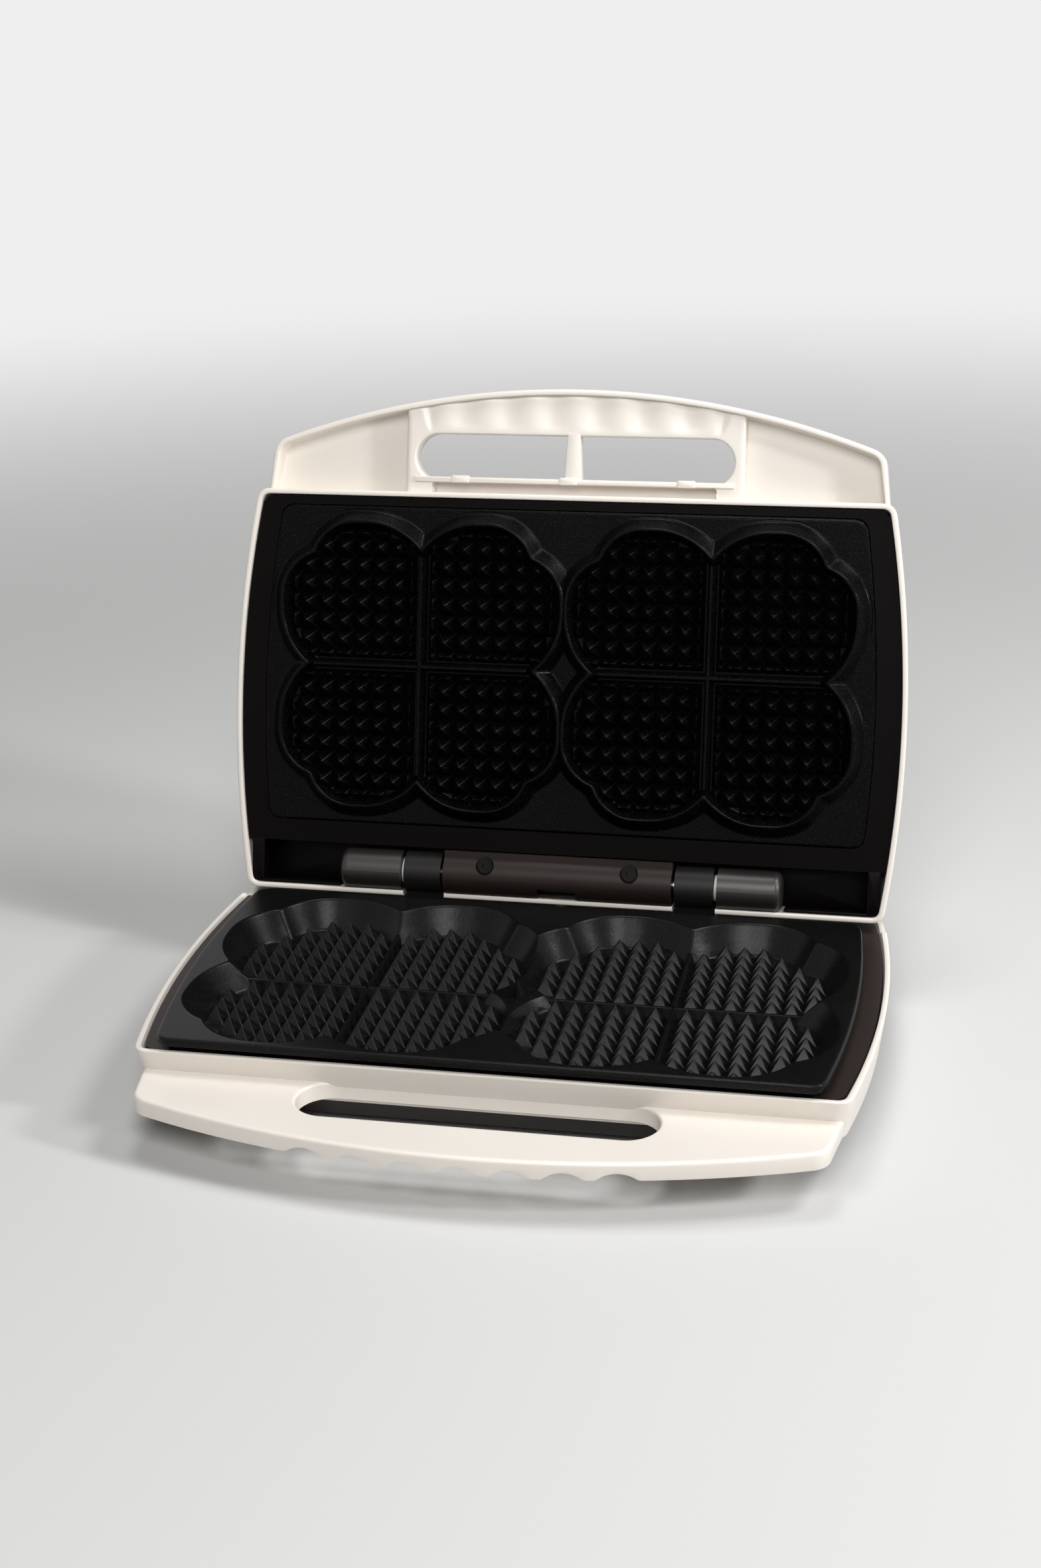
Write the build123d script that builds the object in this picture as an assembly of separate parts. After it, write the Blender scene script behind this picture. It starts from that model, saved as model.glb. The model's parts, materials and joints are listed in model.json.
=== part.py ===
from build123d import *
import math
import os

# Double waffle maker: a shallow base and a hinged lid, each with a slotted front
# handle, and two heart-rosette waffle plates facing each other. Millimetres.
# Working frame: X to the right, Y towards the hinge, Z up, with Z = 0 on the parting
# plane of the plates and Y = 0 on the line of the two waffle centres. The lid is made
# closed, then opened about its hinge, and everything is moved so that the origin is
# the centre of the open machine's footprint, on the worktop.

# Main sizes
stand_height = 42.0        # parting plane above the worktop
rest_opening = 105.0       # degrees that the lid stands open
hinge_y = 95.7
hinge_z = 5.2
waffle_x = 66.4            # each waffle centre from the middle
plate_gap = 0.4            # left between the closed plates

# Waffle rosette: four hearts round a cross
lobe_reach = 71.0          # top of each lobe from the waffle's centre
lobe_top = (26.0, 31.0)    # straight top of a lobe, between its two arcs
cusp_arc_r = 39.1          # from the hollow between two hearts to a lobe's top
notch_arc_r = 26.6         # from a lobe's top to the hollow of its heart
tooth_pitch = 8.5
cavity_depth = 12.2
cavity_draft = 8.5         # the base mould narrows by this much down to its floor
saddle_depth = 6.5         # flat between the two moulds, where the cusps face each other
base_tooth_height = 7.0
cross_depth = 8.0          # base cross below the rim
cross_width = 3.4
island_height = 5.6
island_foot = 0.7          # insets of the lid's raised rosette and of the pocket in it
island_lip = 5.0
pocket_lip = 6.2
pocket_floor = 8.7
lid_cross_height = 5.4
lid_tooth_tip = 6.15
lid_tooth_root = -0.8
casting = 3.2              # wall of the cast plates
pan_floor = 4.4
flange_z = -3.6            # underside of the base plate's overhanging edge
base_skirt_z = -8.6
lid_plate_back = 7.0
base_plate_plan = (-74.5, 77.8, 135.3, 139.0, 143.2)
base_skirt_plan = (-70.5, 74.5, 132.0, 135.5, 140.0)
lid_plate_plan = (-72.5, 73.5, 133.5, 138.0, 140.5)
plate_fit = 0.4            # room round a plate in its bezel
tooth_reach = 66.0         # edge of each field of teeth, before the rosette crops it
half_tooth = tooth_pitch / 2
base_rows = [(6.6 + tooth_pitch * row, half_tooth) for row in range(7)]
lid_full_rows = [(11.3 + tooth_pitch * row, half_tooth) for row in range(6)]
lid_rows = [(4.925, half_tooth / 2)] + lid_full_rows + [(60.175, half_tooth / 2)]

# Shells
wall = 2.4
rim_z = -6.3
shell_foot_z = -25.5
deck_z = -9.1              # rear rim that the open lid leans on
deck_y = 84.5
deck_cover = 1.7           # dark cover let into the rear deck
ledge_depth = 3.4
lid_roof = 33.0
clip_x = (-114.5, 114.5)   # front clips of the lid bezel
lid_front_y = -79.7

# Handles
handle_top_z = -15.8
handle_foot_z = -23.4
handle_skin = 2.6
slot_half = 73.4
base_slot_y = (-98.5, -71.6)
lid_slot_y = (-106.4, -85.2)
lid_handle_edge = 7.4
lid_handle_skin_z = 17.0
slot_rib_width = (7.6, 5.2)   # rib across the lid slot, at the body and at the grip
slot_rib_height = 8.0
flute_pitch = 20.5
flute_count = 7
flute_r = 12.2
flute_depth = 3.0

# Hinge
barrel_r = 9.5
pin_r = 2.5
pin_clearance = 0.05
knuckle_x = (54.4, 71.8)
barrel_x = (73.6, 102.6)
cover_half = 53.0
cover_r = 10.3
cover_screw_x = 33.5
cover_screw_y = 90.4
barrel_screw_xy = [(-86.0, 87.4), (86.0, 87.4)]
window_x = (knuckle_x[0] - 0.6, knuckle_x[1] + 0.6)
knuckle_windows = [(-window_x[1], -window_x[0]), window_x]
bracket_foot_x = (knuckle_x[0] - 4.5, knuckle_x[1] + 4.5)
bracket_screw_xy = [(side * x, hinge_y - 1.7) for side in (-1, 1) for x in bracket_foot_x]

# Heating, feet and fixing
element_r = 3.25
base_element_z = -16.6 - element_r
lid_element_z = 7.45 + element_r
element_tail_y = 62.0
post_xy = [(-118, -56), (118, -56), (-118, 58), (118, 58)]
pan_screw_xy = [(-136, -30), (136, -30), (-136, 50), (136, 50)]
lid_tower_xy = [(-66, -20), (66, -20), (-66, 20), (66, 20)]
base_tray_z = -25.5
lid_tray_z = 15.9
tray_sheet = 0.8
tray_y = (-61.5, 63.5)
tray_x = 124.0
pan_z = -36.0
foot_r = 8.0
foot_xy = ((-112, -48), (112, -48), (-118, 88), (118, 88))
screw_r = 1.75
screw_head_r = 3.4

# Electrical parts
gland_r = 5.0
cord_hole_r = 3.6
gland_x = -33.0
gland_z = -19.5
sensor_y = -20.0
lamp_x = (-9.0, 9.0)
lamp_y = -46.0
lens_r = 3.5
wire_r = 1.1
sleeve_y = 93.5


def outline(front_y, rear_y, front_x, rear_x, bulge_x, corner, z):
    """Plan of a shell or plate: straight front and rear, bulging sides, round corners."""
    middle_y = (front_y + rear_y) / 2
    edges = [
        Line((-front_x, front_y), (front_x, front_y)),
        ThreePointArc((front_x, front_y), (bulge_x, middle_y), (rear_x, rear_y)),
        Line((rear_x, rear_y), (-rear_x, rear_y)),
        ThreePointArc((-rear_x, rear_y), (-bulge_x, middle_y), (-front_x, front_y)),
    ]
    face = make_face(Curve() + edges)
    return Pos(0, 0, z) * fillet(face.vertices(), corner)


def base_plan(z, inset=0.0):
    """Base shell plan at height z, drawn in as it goes down."""
    down = (rim_z - z) / (rim_z - shell_foot_z)
    side = 2.6 * down + inset
    return outline(-74.5 + 4.7 * down + inset, 104.0 - 1.5 * down - inset, 145.6 - side,
                   147.5 - side, 154.8 - side, 9.0 - min(inset, 4.0), z)


def lid_plan(z, inset=0.0):
    """Lid shell plan at height z, crowned towards its roof."""
    up = max(0.0, z) / lid_roof
    draw_in = 2.0 * up + 20.0 * up ** 5 + inset
    return outline(lid_front_y + draw_in, 107.0 - 0.6 * draw_in - 0.4 * inset, 145.8 - draw_in,
                   148.3 - draw_in, 155.0 - draw_in, 9.0 - min(inset, 4.0) + 8.0 * up ** 3, z)


def pan_plan(z, inset=0.0):
    """Bottom pan plan, sloping in to its floor."""
    down = (shell_foot_z - z) / (shell_foot_z - pan_z)
    draw_in = 8.5 * down + inset
    return outline(-69.6 + draw_in, 102.3 - 0.6 * draw_in, 142.8 - draw_in, 144.4 - draw_in,
                   151.9 - draw_in, 9.0 - min(inset, 4.0), z)


def stack(plan, heights):
    """Solid through a plan taken at several heights."""
    return loft([plan(z) for z in heights], ruled=True)


def on_arc(centre, radius, angle):
    """Point of an arc, its angle in radians from +X."""
    return (centre[0] + radius * math.cos(angle), centre[1] + radius * math.sin(angle))


def rosette(inset, z):
    """Four-heart outline drawn in by an inset: in each quarter two mirrored lobes."""
    cusp_r = cusp_arc_r - inset
    notch_r = notch_arc_r - inset
    top = lobe_reach - inset
    cusp_centre = (lobe_reach - cusp_arc_r, lobe_top[0])
    notch_centre = (lobe_reach - notch_arc_r, lobe_top[1])
    cusp_angle = math.asin(lobe_top[0] / cusp_r)
    cusp = cusp_centre[0] + cusp_r * math.cos(cusp_angle)
    total = sum(notch_centre)
    spread = notch_centre[0] ** 2 + notch_centre[1] ** 2 - notch_r ** 2
    notch = (total + math.sqrt(total ** 2 - 2 * spread)) / 2
    notch_angle = math.atan2(notch - notch_centre[1], notch - notch_centre[0])
    cusp_middle = on_arc(cusp_centre, cusp_r, -cusp_angle / 2)
    notch_middle = on_arc(notch_centre, notch_r, notch_angle / 2)
    half = [(cusp, 0), cusp_middle, (top, lobe_top[0]), (top, lobe_top[1]), notch_middle]
    edges = []
    for quarter in range(4):
        turn = Rot(0, 0, 90 * quarter)
        for points in (half + [(notch, notch)], [(y, x) for x, y in half] + [(notch, notch)]):
            edges.append(turn * ThreePointArc(*points[0:3]))
            edges.append(turn * Line(points[2], points[3]))
            edges.append(turn * ThreePointArc(*points[3:6]))
    return Pos(0, 0, z) * make_face(Curve() + edges)


def tooth_field(root_z, tip_z, rows):
    """Pyramid teeth, where two crossed sets of ridges meet; a row is its place and half width."""
    slope = (tip_z - root_z) / half_tooth
    foot_z = root_z - math.copysign(1.2, slope)
    points = [(-tooth_reach, foot_z), (-tooth_reach, root_z)]
    for place, half in [(-place, half) for place, half in reversed(rows)] + rows:
        if points[-1][0] < place - half - 0.01:
            points.append((place - half, root_z))
        points += [(place, root_z + slope * half), (place + half, root_z)]
    points += [(tooth_reach, root_z), (tooth_reach, foot_z)]
    profile = Plane.XZ * make_face(Polyline(points, close=True))
    ridges = extrude(profile, amount=tooth_reach, both=True)
    return ridges & (Rot(0, 0, 90) * ridges)


def box(x0, x1, y0, y1, z0, z1):
    """Block between two corners."""
    return Pos((x0 + x1) / 2, (y0 + y1) / 2, (z0 + z1) / 2) * Box(x1 - x0, y1 - y0, z1 - z0)


def rod_z(x, y, z0, z1, radius):
    """Upright cylinder."""
    return Pos(x, y, (z0 + z1) / 2) * Cylinder(radius, z1 - z0)


def rod_x(x0, x1, y, z, radius):
    """Cylinder along X."""
    return Pos((x0 + x1) / 2, y, z) * Rot(0, 90, 0) * Cylinder(radius, x1 - x0)


def rod_y(x, y0, y1, z, radius):
    """Cylinder along Y."""
    return Pos(x, (y0 + y1) / 2, z) * Rot(90, 0, 0) * Cylinder(radius, y1 - y0)


def stadium(half_length, y0, y1, z0, z1, radius):
    """Slot-shaped block across X with round ends."""
    plan = RectangleRounded(2 * half_length, y1 - y0, radius)
    return extrude(Pos(0, (y0 + y1) / 2, z0) * plan, amount=z1 - z0)


def handle_plan(corner_x, corner_y, apex_y, root_x, root_y, corner):
    """Handle seen from above: slanted sides and a bowed front edge."""
    edges = [
        Line((-root_x, root_y), (-corner_x, corner_y)),
        ThreePointArc((-corner_x, corner_y), (0, apex_y), (corner_x, corner_y)),
        Line((corner_x, corner_y), (root_x, root_y)),
        Line((root_x, root_y), (-root_x, root_y)),
    ]
    face = make_face(Curve() + edges)
    front = face.vertices().sort_by(Axis.Y)[0:2]
    return fillet(front, corner)


def group(solids):
    """Several separate solids of one node."""
    return Compound(children=list(solids))


def mirrored(solid):
    """A solid and its twin on the other side."""
    return [solid, mirror(solid, about=Plane.YZ)]


def screw(x, y, head_z, tip_z, head_height=2.2):
    """Pan-head screw driven from head_z towards tip_z."""
    direction = 1 if tip_z > head_z else -1
    neck_z = head_z + direction * head_height
    drive_z = head_z + direction * 1.2
    head = rod_z(x, y, min(head_z, neck_z), max(head_z, neck_z), screw_head_r)
    shank = rod_z(x, y, min(neck_z, tip_z), max(neck_z, tip_z), screw_r)
    return head + shank - rod_z(x, y, min(head_z, drive_z), max(head_z, drive_z), 1.4)


# Base shell and pan
def make_base_handle():
    """Slotted grip of the base, hollow below, with finger waves in its front wall."""
    plan = handle_plan(139.1, -95.9, -122.0, 143.6, -71.5, 6.0)
    inner_plan = handle_plan(136.4, -94.2, -119.4, 141.2, -69.0, 4.0)
    block = extrude(Pos(0, 0, handle_foot_z) * plan, amount=handle_top_z - handle_foot_z)
    hollow = extrude(Pos(0, 0, handle_foot_z - 1) * inner_plan,
                     amount=handle_top_z - handle_skin - handle_foot_z + 1)
    slot_y0, slot_y1 = base_slot_y
    collar = stadium(slot_half + wall, slot_y0 - wall, slot_y1 + wall, handle_foot_z, handle_top_z, 15.8)
    slot = stadium(slot_half, slot_y0, slot_y1, handle_foot_z - 2, handle_top_z + 4, 13.4)
    grip = block - hollow + collar - slot
    for number in range(flute_count):
        x = (number - (flute_count - 1) / 2) * flute_pitch
        grip -= rod_y(x, -126, -107.0, handle_foot_z + flute_depth - flute_r, flute_r)
    return grip


def make_base_shell():
    """Cream wall round the base, rear deck, hinge windows and front grip."""
    outer = stack(base_plan, [shell_foot_z, rim_z])
    inner = loft([base_plan(shell_foot_z - 0.01, wall), base_plan(rim_z + 0.01, wall)], ruled=True)
    deck_top = deck_z - deck_cover - 0.1
    deck = outer & box(-160, 160, deck_y, 110, deck_top - wall, deck_top)
    partition = outer & box(-160, 160, deck_y, deck_y + wall, shell_foot_z, deck_top)
    shell = outer - inner + deck + partition - box(-160, 160, deck_y, 110, deck_z, 0)
    shell += make_base_handle() - inner
    for x, y in pan_screw_xy:
        rib = box(min(x, 1.12 * x), max(x, 1.12 * x), y - 1.5, y + 1.5, shell_foot_z, -17.4)
        shell += (rod_z(x, y, shell_foot_z, -17.4, 4.5) + rib) & outer
        shell -= rod_z(x, y, shell_foot_z - 1, -18.4, screw_r)
    for x, y in bracket_screw_xy:
        shell -= rod_z(x, y, deck_top - 4, deck_top - 0.6, screw_r)
    for x0, x1 in knuckle_windows:
        shell -= box(x0, x1, 89.8, 101.4, deck_z - 6, deck_z + 1)
    slot_y0, slot_y1 = base_slot_y
    shell -= stadium(slot_half, slot_y0, slot_y1, handle_foot_z - 3, handle_top_z + 0.1, 13.4)
    shell -= rod_y(gland_x, 80, 112, gland_z, gland_r + 0.05)
    return shell - rod_z(0, sleeve_y, deck_top - 4, deck_top + 1, 5.0)


def make_base_pan():
    """Dark floor pan with vents, screw towers and feet sockets."""
    lower = shell_foot_z - 0.1
    pan = stack(pan_plan, [pan_z, lower]) - loft(
        [pan_plan(pan_z + 2.2, wall), pan_plan(lower + 0.01, wall)], ruled=True)
    for number in range(-4, 5):
        for row in (-1, 1):
            vent = stadium(9.0, -1.6, 1.6, pan_z - 1, pan_z + 3, 1.5)
            pan -= Pos(number * 24.0, 10.0 + row * 26.0, 0) * vent
    for x, y in foot_xy:
        pan += rod_z(x, y, pan_z, pan_z + 5.0, 5.0)
        pan -= rod_z(x, y, pan_z - 1, pan_z + 3.0, 3.0)
    for x, y in pan_screw_xy:
        pan += rod_z(x, y, pan_z, shell_foot_z - 0.1, 5.2)
        pan -= rod_z(x, y, pan_z - 1, shell_foot_z, screw_r + 0.2)
        pan -= rod_z(x, y, pan_z - 1, pan_z + 3.4, screw_head_r + 0.3)
    return pan


def make_feet():
    """Four rubber feet with stems pushed into the pan."""
    feet = []
    for x, y in foot_xy:
        body = Pos(x, y, -stand_height) * extrude(Circle(foot_r), amount=pan_z + stand_height, taper=6)
        feet.append(body + rod_z(x, y, pan_z, pan_z + 2.8, 2.9))
    return group(feet)


# Plates
def plate_block(sizes, z0, z1, inset=0.0, corner=6.0):
    """Plate blank with round corners, drawn in by an inset."""
    front_y, rear_y, front_x, rear_x, bulge_x = sizes
    plan = outline(front_y + inset, rear_y - inset, front_x - inset, rear_x - inset,
                   bulge_x - inset, corner, z0)
    return extrude(plan, amount=z1 - z0)


def cross(top_z, foot_z, width, reach):
    """Cross that parts the four hearts."""
    low, high = sorted((top_z, foot_z))
    bar = box(-reach, reach, -width / 2, width / 2, low, high)
    return bar + Rot(0, 0, 90) * bar


def make_base_plate():
    """Cast plate with an overhanging edge, a skirt, and two deep heart-rosette moulds."""
    plate = plate_block(base_plate_plan, flange_z, 0)
    plate += plate_block(base_skirt_plan, base_skirt_z, flange_z)
    plate -= plate_block(base_skirt_plan, base_skirt_z - 1, -casting, inset=casting)
    floor = -cavity_depth
    cavity = loft([rosette(cavity_draft, floor), rosette(0.0, 0.0)], ruled=True)
    cavity += extrude(rosette(0.0, 0.0), amount=1)
    under = loft([rosette(6.0, floor - pan_floor), rosette(4.0, -9.0), rosette(0.4, flange_z)],
                 ruled=True)
    inside = loft([rosette(9.4, floor - 1.2), rosette(3.8, -5.0)], ruled=True)
    teeth = tooth_field(floor, floor + base_tooth_height, base_rows) & inside
    bars = cross(-cross_depth, floor - 0.5, cross_width, 58) & cavity
    plate += box(-14, 14, -28, 28, -saddle_depth - casting, -casting / 2)
    places = [Pos(side * waffle_x, 0, 0) for side in (-1, 1)]
    halves = [box(*sorted((0, side * 150)), -80, 80, -20, 0) for side in (-1, 1)]
    for place, half in zip(places, halves):
        plate += place * under & half
    for x, y in post_xy:
        plate += rod_z(x, y, base_tray_z + tray_sheet, -casting / 2, 4.0)
    plate -= box(-13, 13, -30, 30, -saddle_depth, 1)
    for place in places:
        plate = plate - place * cavity + place * teeth + place * bars
    for x, y in post_xy:
        plate -= rod_z(x, y, base_tray_z, -14.0, screw_r)
    return plate


def make_lid_plate():
    """Cast plate with two raised rosettes that dip into the base plate."""
    back = plate_gap + lid_plate_back
    plate = plate_block(lid_plate_plan, plate_gap, back)
    plate -= plate_block(lid_plate_plan, plate_gap + casting, back + 1, inset=casting)
    boss = extrude(rosette(2.0, casting / 2), amount=lid_plate_back - casting / 2)
    island = loft([rosette(island_foot, 0.0), rosette(island_lip, -island_height)], ruled=True)
    island += extrude(rosette(island_foot, 0.0), amount=1)
    pocket = loft([rosette(pocket_lip, -island_height - 0.1), rosette(pocket_floor, -lid_tooth_root)],
                  ruled=True)
    inside = extrude(rosette(pocket_floor + 0.2, -lid_tooth_tip), amount=lid_tooth_tip + 2.5)
    teeth = tooth_field(-lid_tooth_root, -lid_tooth_tip, lid_rows) & inside
    bars = cross(-lid_cross_height, 1.2 - lid_tooth_root, cross_width, 50)
    for side in (-1, 1):
        place = Pos(side * waffle_x, 0, plate_gap)
        plate = plate + place * boss + place * island - place * pocket + place * teeth + place * bars
    for x, y in post_xy:
        plate += rod_z(x, y, plate_gap + casting / 2, lid_tray_z, 4.0)
        plate -= rod_z(x, y, back + 1, lid_tray_z + 1, screw_r)
    return plate


# Bezels
def make_base_bezel():
    """Dark ledge between base shell and plate, stepped down to the rear deck cover."""
    ledge_z = rim_z - 0.9
    foot_z = ledge_z - ledge_depth
    front = box(-160, 160, -80, deck_y - 0.3, foot_z - 9, ledge_z)
    rear = box(-160, 160, deck_y - 0.3, 110, foot_z - 9, ledge_z)
    ledge = extrude(base_plan(foot_z, wall + 0.35), amount=ledge_depth) & front
    skirt = extrude(base_plan(foot_z - 5.0, wall + 2.4), amount=5.0) & front
    skirt -= extrude(base_plan(foot_z - 5.1, wall + 4.2), amount=5.2) & box(
        -160, 160, -80, deck_y - 2.3, -30, 0)
    cover = extrude(base_plan(deck_z - deck_cover, wall + 0.35), amount=deck_cover) & rear
    step = box(-140, 140, deck_y - 2.3, deck_y + 0.7, deck_z - deck_cover, ledge_z)
    opening = plate_block(base_skirt_plan, foot_z - 9, foot_z + 9, inset=2.9)
    seat = plate_block(base_skirt_plan, base_skirt_z - 0.2, 1, inset=-plate_fit)
    bezel = ledge + skirt + cover + step - opening - seat
    for x0, x1 in knuckle_windows:
        bezel -= box(x0, x1, 89.8, 101.4, deck_z - 3, deck_z + 1)
    return bezel - rod_z(0, sleeve_y, deck_z - 4, deck_z + 1, 5.0)


def make_lid_bezel():
    """Dark frame round the lid plate, with front clips and an upright tail at the hinge."""
    z0 = 1.6
    keep = box(-160, 160, -80, 84.0, 0, 20)
    frame = extrude(lid_plan(z0, wall + 0.4), amount=2.0) & keep
    skirt = extrude(lid_plan(z0 + 2.0, wall + 2.6), amount=6.0) & keep
    skirt -= extrude(lid_plan(z0 + 1.9, wall + 4.4), amount=7.0) & box(-160, 160, -80, 82.2, 0, 20)
    tail = box(-138, 138, 82.2, 84.0, z0, z0 + 13.0)
    bezel = frame + skirt + tail - plate_block(lid_plate_plan, z0 - 1, z0 + 9, inset=-plate_fit)
    for x in clip_x:
        bezel += box(x - 7.2, x + 7.2, lid_front_y + 0.9, lid_front_y + 3.5, 1.8, 3.4)
    return bezel - box(-13, 13, 81, 85, 9.0, 15.0)


# Lid shell and lamps
def make_lid_handle():
    """Hollow grip of the lid, with a box round its finger slot."""
    edge, skin = lid_handle_edge, lid_handle_skin_z
    top = skin + handle_skin
    plan = handle_plan(140.3, -101.3, -127.3, 143.4, -74.0, 6.0)
    inner_plan = handle_plan(137.3, -99.5, -124.4, 141.0, -72.0, 4.0)
    block = extrude(Pos(0, 0, edge) * plan, amount=top - edge)
    hollow = extrude(Pos(0, 0, edge - 1) * inner_plan, amount=skin - edge + 1)
    centre_box = extrude(Pos(0, 0, edge + 2.0) * handle_plan(77.7, -119.4, -126.0, 77.7, -74.0, 2.0),
                         amount=top - edge - 2.0)
    slot_y0, slot_y1 = lid_slot_y
    slot = stadium(slot_half, slot_y0, slot_y1, edge - 2, top + 2, 10.5)
    recess = stadium(66.0, -83.2, -76.0, edge - 1, skin - 2.0, 3.0)
    wide, narrow = slot_rib_width[0] / 2, slot_rib_width[1] / 2
    rib_y0, rib_y1 = slot_y0 - 0.5, slot_y1 + 0.5
    rib_corners = [(-wide, rib_y1), (wide, rib_y1), (narrow, rib_y0), (-narrow, rib_y0)]
    rib_plan = Pos(0, 0, edge + 1.5) * make_face(Polyline(rib_corners, close=True))
    rib = extrude(rib_plan, amount=slot_rib_height)
    return block - hollow + centre_box - slot - recess + rib


def make_lid_shell():
    """Cream lid: crowned roof, hinge slots in the rear wall and front grip."""
    outer = stack(lid_plan, [0.0, 10.0, 18.0, 24.0, 28.5, 31.5, lid_roof])
    inner = loft([lid_plan(z, wall) for z in [-0.01, 10.0, 18.0, 24.0, 28.5, lid_roof - wall]], ruled=True)
    shell = outer - inner + (make_lid_handle() - inner)
    for x0, x1 in knuckle_windows:
        shell -= box(x0 - 0.4, x1 + 0.4, 100.0, 112.0, -1.0, 14.5)
    for x in clip_x:
        shell -= box(x - 8.5, x + 8.5, lid_front_y - 1.5, lid_front_y + 3.0, 1.2, 4.2)
    for x, y in barrel_screw_xy:
        shell += rod_z(x, y, 20.05, 33.0, 3.4) & outer
        shell -= rod_z(x, y, 19.0, 26.0, screw_r)
    for x, y in lid_tower_xy:
        shell += rod_z(x, y, lid_tray_z + tray_sheet, 31.0, 4.2)
        shell -= rod_z(x, y, lid_tray_z, 26.0, screw_r)
    for x in lamp_x:
        shell -= rod_z(x, lamp_y, 25.0, 35.0, lens_r + 0.05)
    for barrel in mirrored(rod_x(barrel_x[0] - 0.3, barrel_x[1] + 0.3, hinge_y, hinge_z, barrel_r + 0.15)):
        shell -= barrel
    return shell


def make_lens(x):
    """Domed lamp window pushed into the roof."""
    body = rod_z(x, lamp_y, 27.5, lid_roof + 0.3, lens_r)
    flange = rod_z(x, lamp_y, 27.0, lid_roof - wall - 0.6, lens_r + 1.2)
    dome = Pos(x, lamp_y, lid_roof - 2.5) * Sphere(4.5) & rod_z(x, lamp_y, lid_roof, lid_roof + 3, lens_r)
    return body + flange + dome - rod_z(x, lamp_y, 26.0, lid_roof - 1.5, 2.2)


def make_lamps():
    """Two neon indicator bulbs under the windows."""
    bulbs = []
    for x in lamp_x:
        bulbs.append(rod_z(x, lamp_y, 20.0, 27.8, 2.0) + Pos(x, lamp_y, 27.8) * Sphere(2.0))
    return group(bulbs)


def make_lamp_holder():
    """Bridge that carries both bulbs."""
    holder = box(-19, 19, lamp_y - 4, lamp_y + 4, 17.8, 20.0)
    for x in (-17, 17):
        holder += box(x - 1.2, x + 1.2, lamp_y - 4, lamp_y + 4, 20.0, lid_roof - wall)
    return holder


# Hinge
def make_knuckles():
    """Two black base brackets, each with a bored knuckle and a foot under the deck."""
    x0, x1 = knuckle_x
    foot_top = deck_z - deck_cover - wall - 0.2
    knuckle = rod_x(x0, x1, hinge_y, hinge_z, barrel_r)
    arm = box(x0, x1, hinge_y - 4.9, hinge_y + 4.9, foot_top - 3.4, hinge_z)
    foot = box(x0 - 8, x1 + 8, 87.3, 100.4, foot_top - 3.4, foot_top)
    bracket = knuckle + arm + foot - rod_x(x0 - 1, x1 + 1, hinge_y, hinge_z, pin_r + pin_clearance)
    for x, y in bracket_screw_xy[2:]:
        bracket -= rod_z(x, y, foot_top - 4, foot_top + 1, screw_r + 0.1)
    return group(mirrored(bracket))


def make_knuckle_screws():
    """Screws that hold the brackets up against the deck."""
    seat_z = deck_z - deck_cover - wall - 3.6
    return group([screw(x, y, seat_z - 2.2, seat_z + 5.2) for x, y in bracket_screw_xy])


def make_barrels():
    """Two lid barrels with round outer ends, on flanges that screw up into the lid."""
    x0, x1 = barrel_x
    tube = fillet(rod_x(x0, x1, hinge_y, hinge_z, barrel_r).faces().sort_by(Axis.X)[-1].edges(), 3.5)
    web = box(x0 + 1.0, x1 - 4.0, hinge_y - 4.4, hinge_y + 6.5, hinge_z, 20.0)
    flange = box(x0 + 1.0, x1 - 4.0, 84.6, hinge_y + 6.5, 17.6, 20.0)
    bore = rod_x(x0 - 1, x1 - 6.0, hinge_y, hinge_z, pin_r)
    return group(mirrored(tube + web + flange - bore - rod_z(86.0, 87.4, 17, 21, screw_r + 0.1)))


def make_barrel_screws():
    """Screws that hold the barrels to the lid."""
    return group([screw(x, 87.4, 15.4, 25.0) for x in (-86.0, 86.0)])


def make_pins():
    """Two steel hinge pins, pressed into the barrels and free in the knuckles."""
    return group(mirrored(rod_x(cover_half - 8.0, barrel_x[1] - 6.0, hinge_y, hinge_z, pin_r)))


def make_washers():
    """Thin thrust washers between knuckle and barrel."""
    x0, x1 = knuckle_x[1] + 0.3, barrel_x[0] - 0.3
    ring = rod_x(x0, x1, hinge_y, hinge_z, 6.0) - rod_x(x0 - 1, x1 + 1, hinge_y, hinge_z, pin_r + 0.02)
    return group(mirrored(ring))


def make_hinge_cover():
    """Half-round cover over the lead passage, with a front lip and two screw wells."""
    split_z = hinge_z + 1.0
    tube = rod_x(-cover_half, cover_half, hinge_y, hinge_z, cover_r)
    bore = rod_x(3.0 - cover_half, cover_half - 3.0, hinge_y, hinge_z, cover_r - 2.2)
    lip = box(-cover_half, cover_half, 84.4, 92.0, -1.2, 0.8)
    cover = tube + lip - bore
    for x in (-cover_screw_x, cover_screw_x):
        cover += rod_z(x, cover_screw_y, -3.2, split_z, 5.6) & rod_x(x - 8, x + 8, hinge_y, hinge_z, cover_r)
        cover -= rod_z(x, cover_screw_y, -8.0, -0.6, 4.2)
        cover -= rod_z(x, cover_screw_y, -8.0, split_z + 1.0, screw_r + 0.15)
    cover -= rod_x(-80, 80, hinge_y, hinge_z, pin_r + 0.02)
    cover -= box(-9.0, 9.0, hinge_y + 4.0, hinge_y + 12.0, -8.0, 2.0)
    return cover & box(-60, 60, 80, 104.2, -8, split_z)


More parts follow.
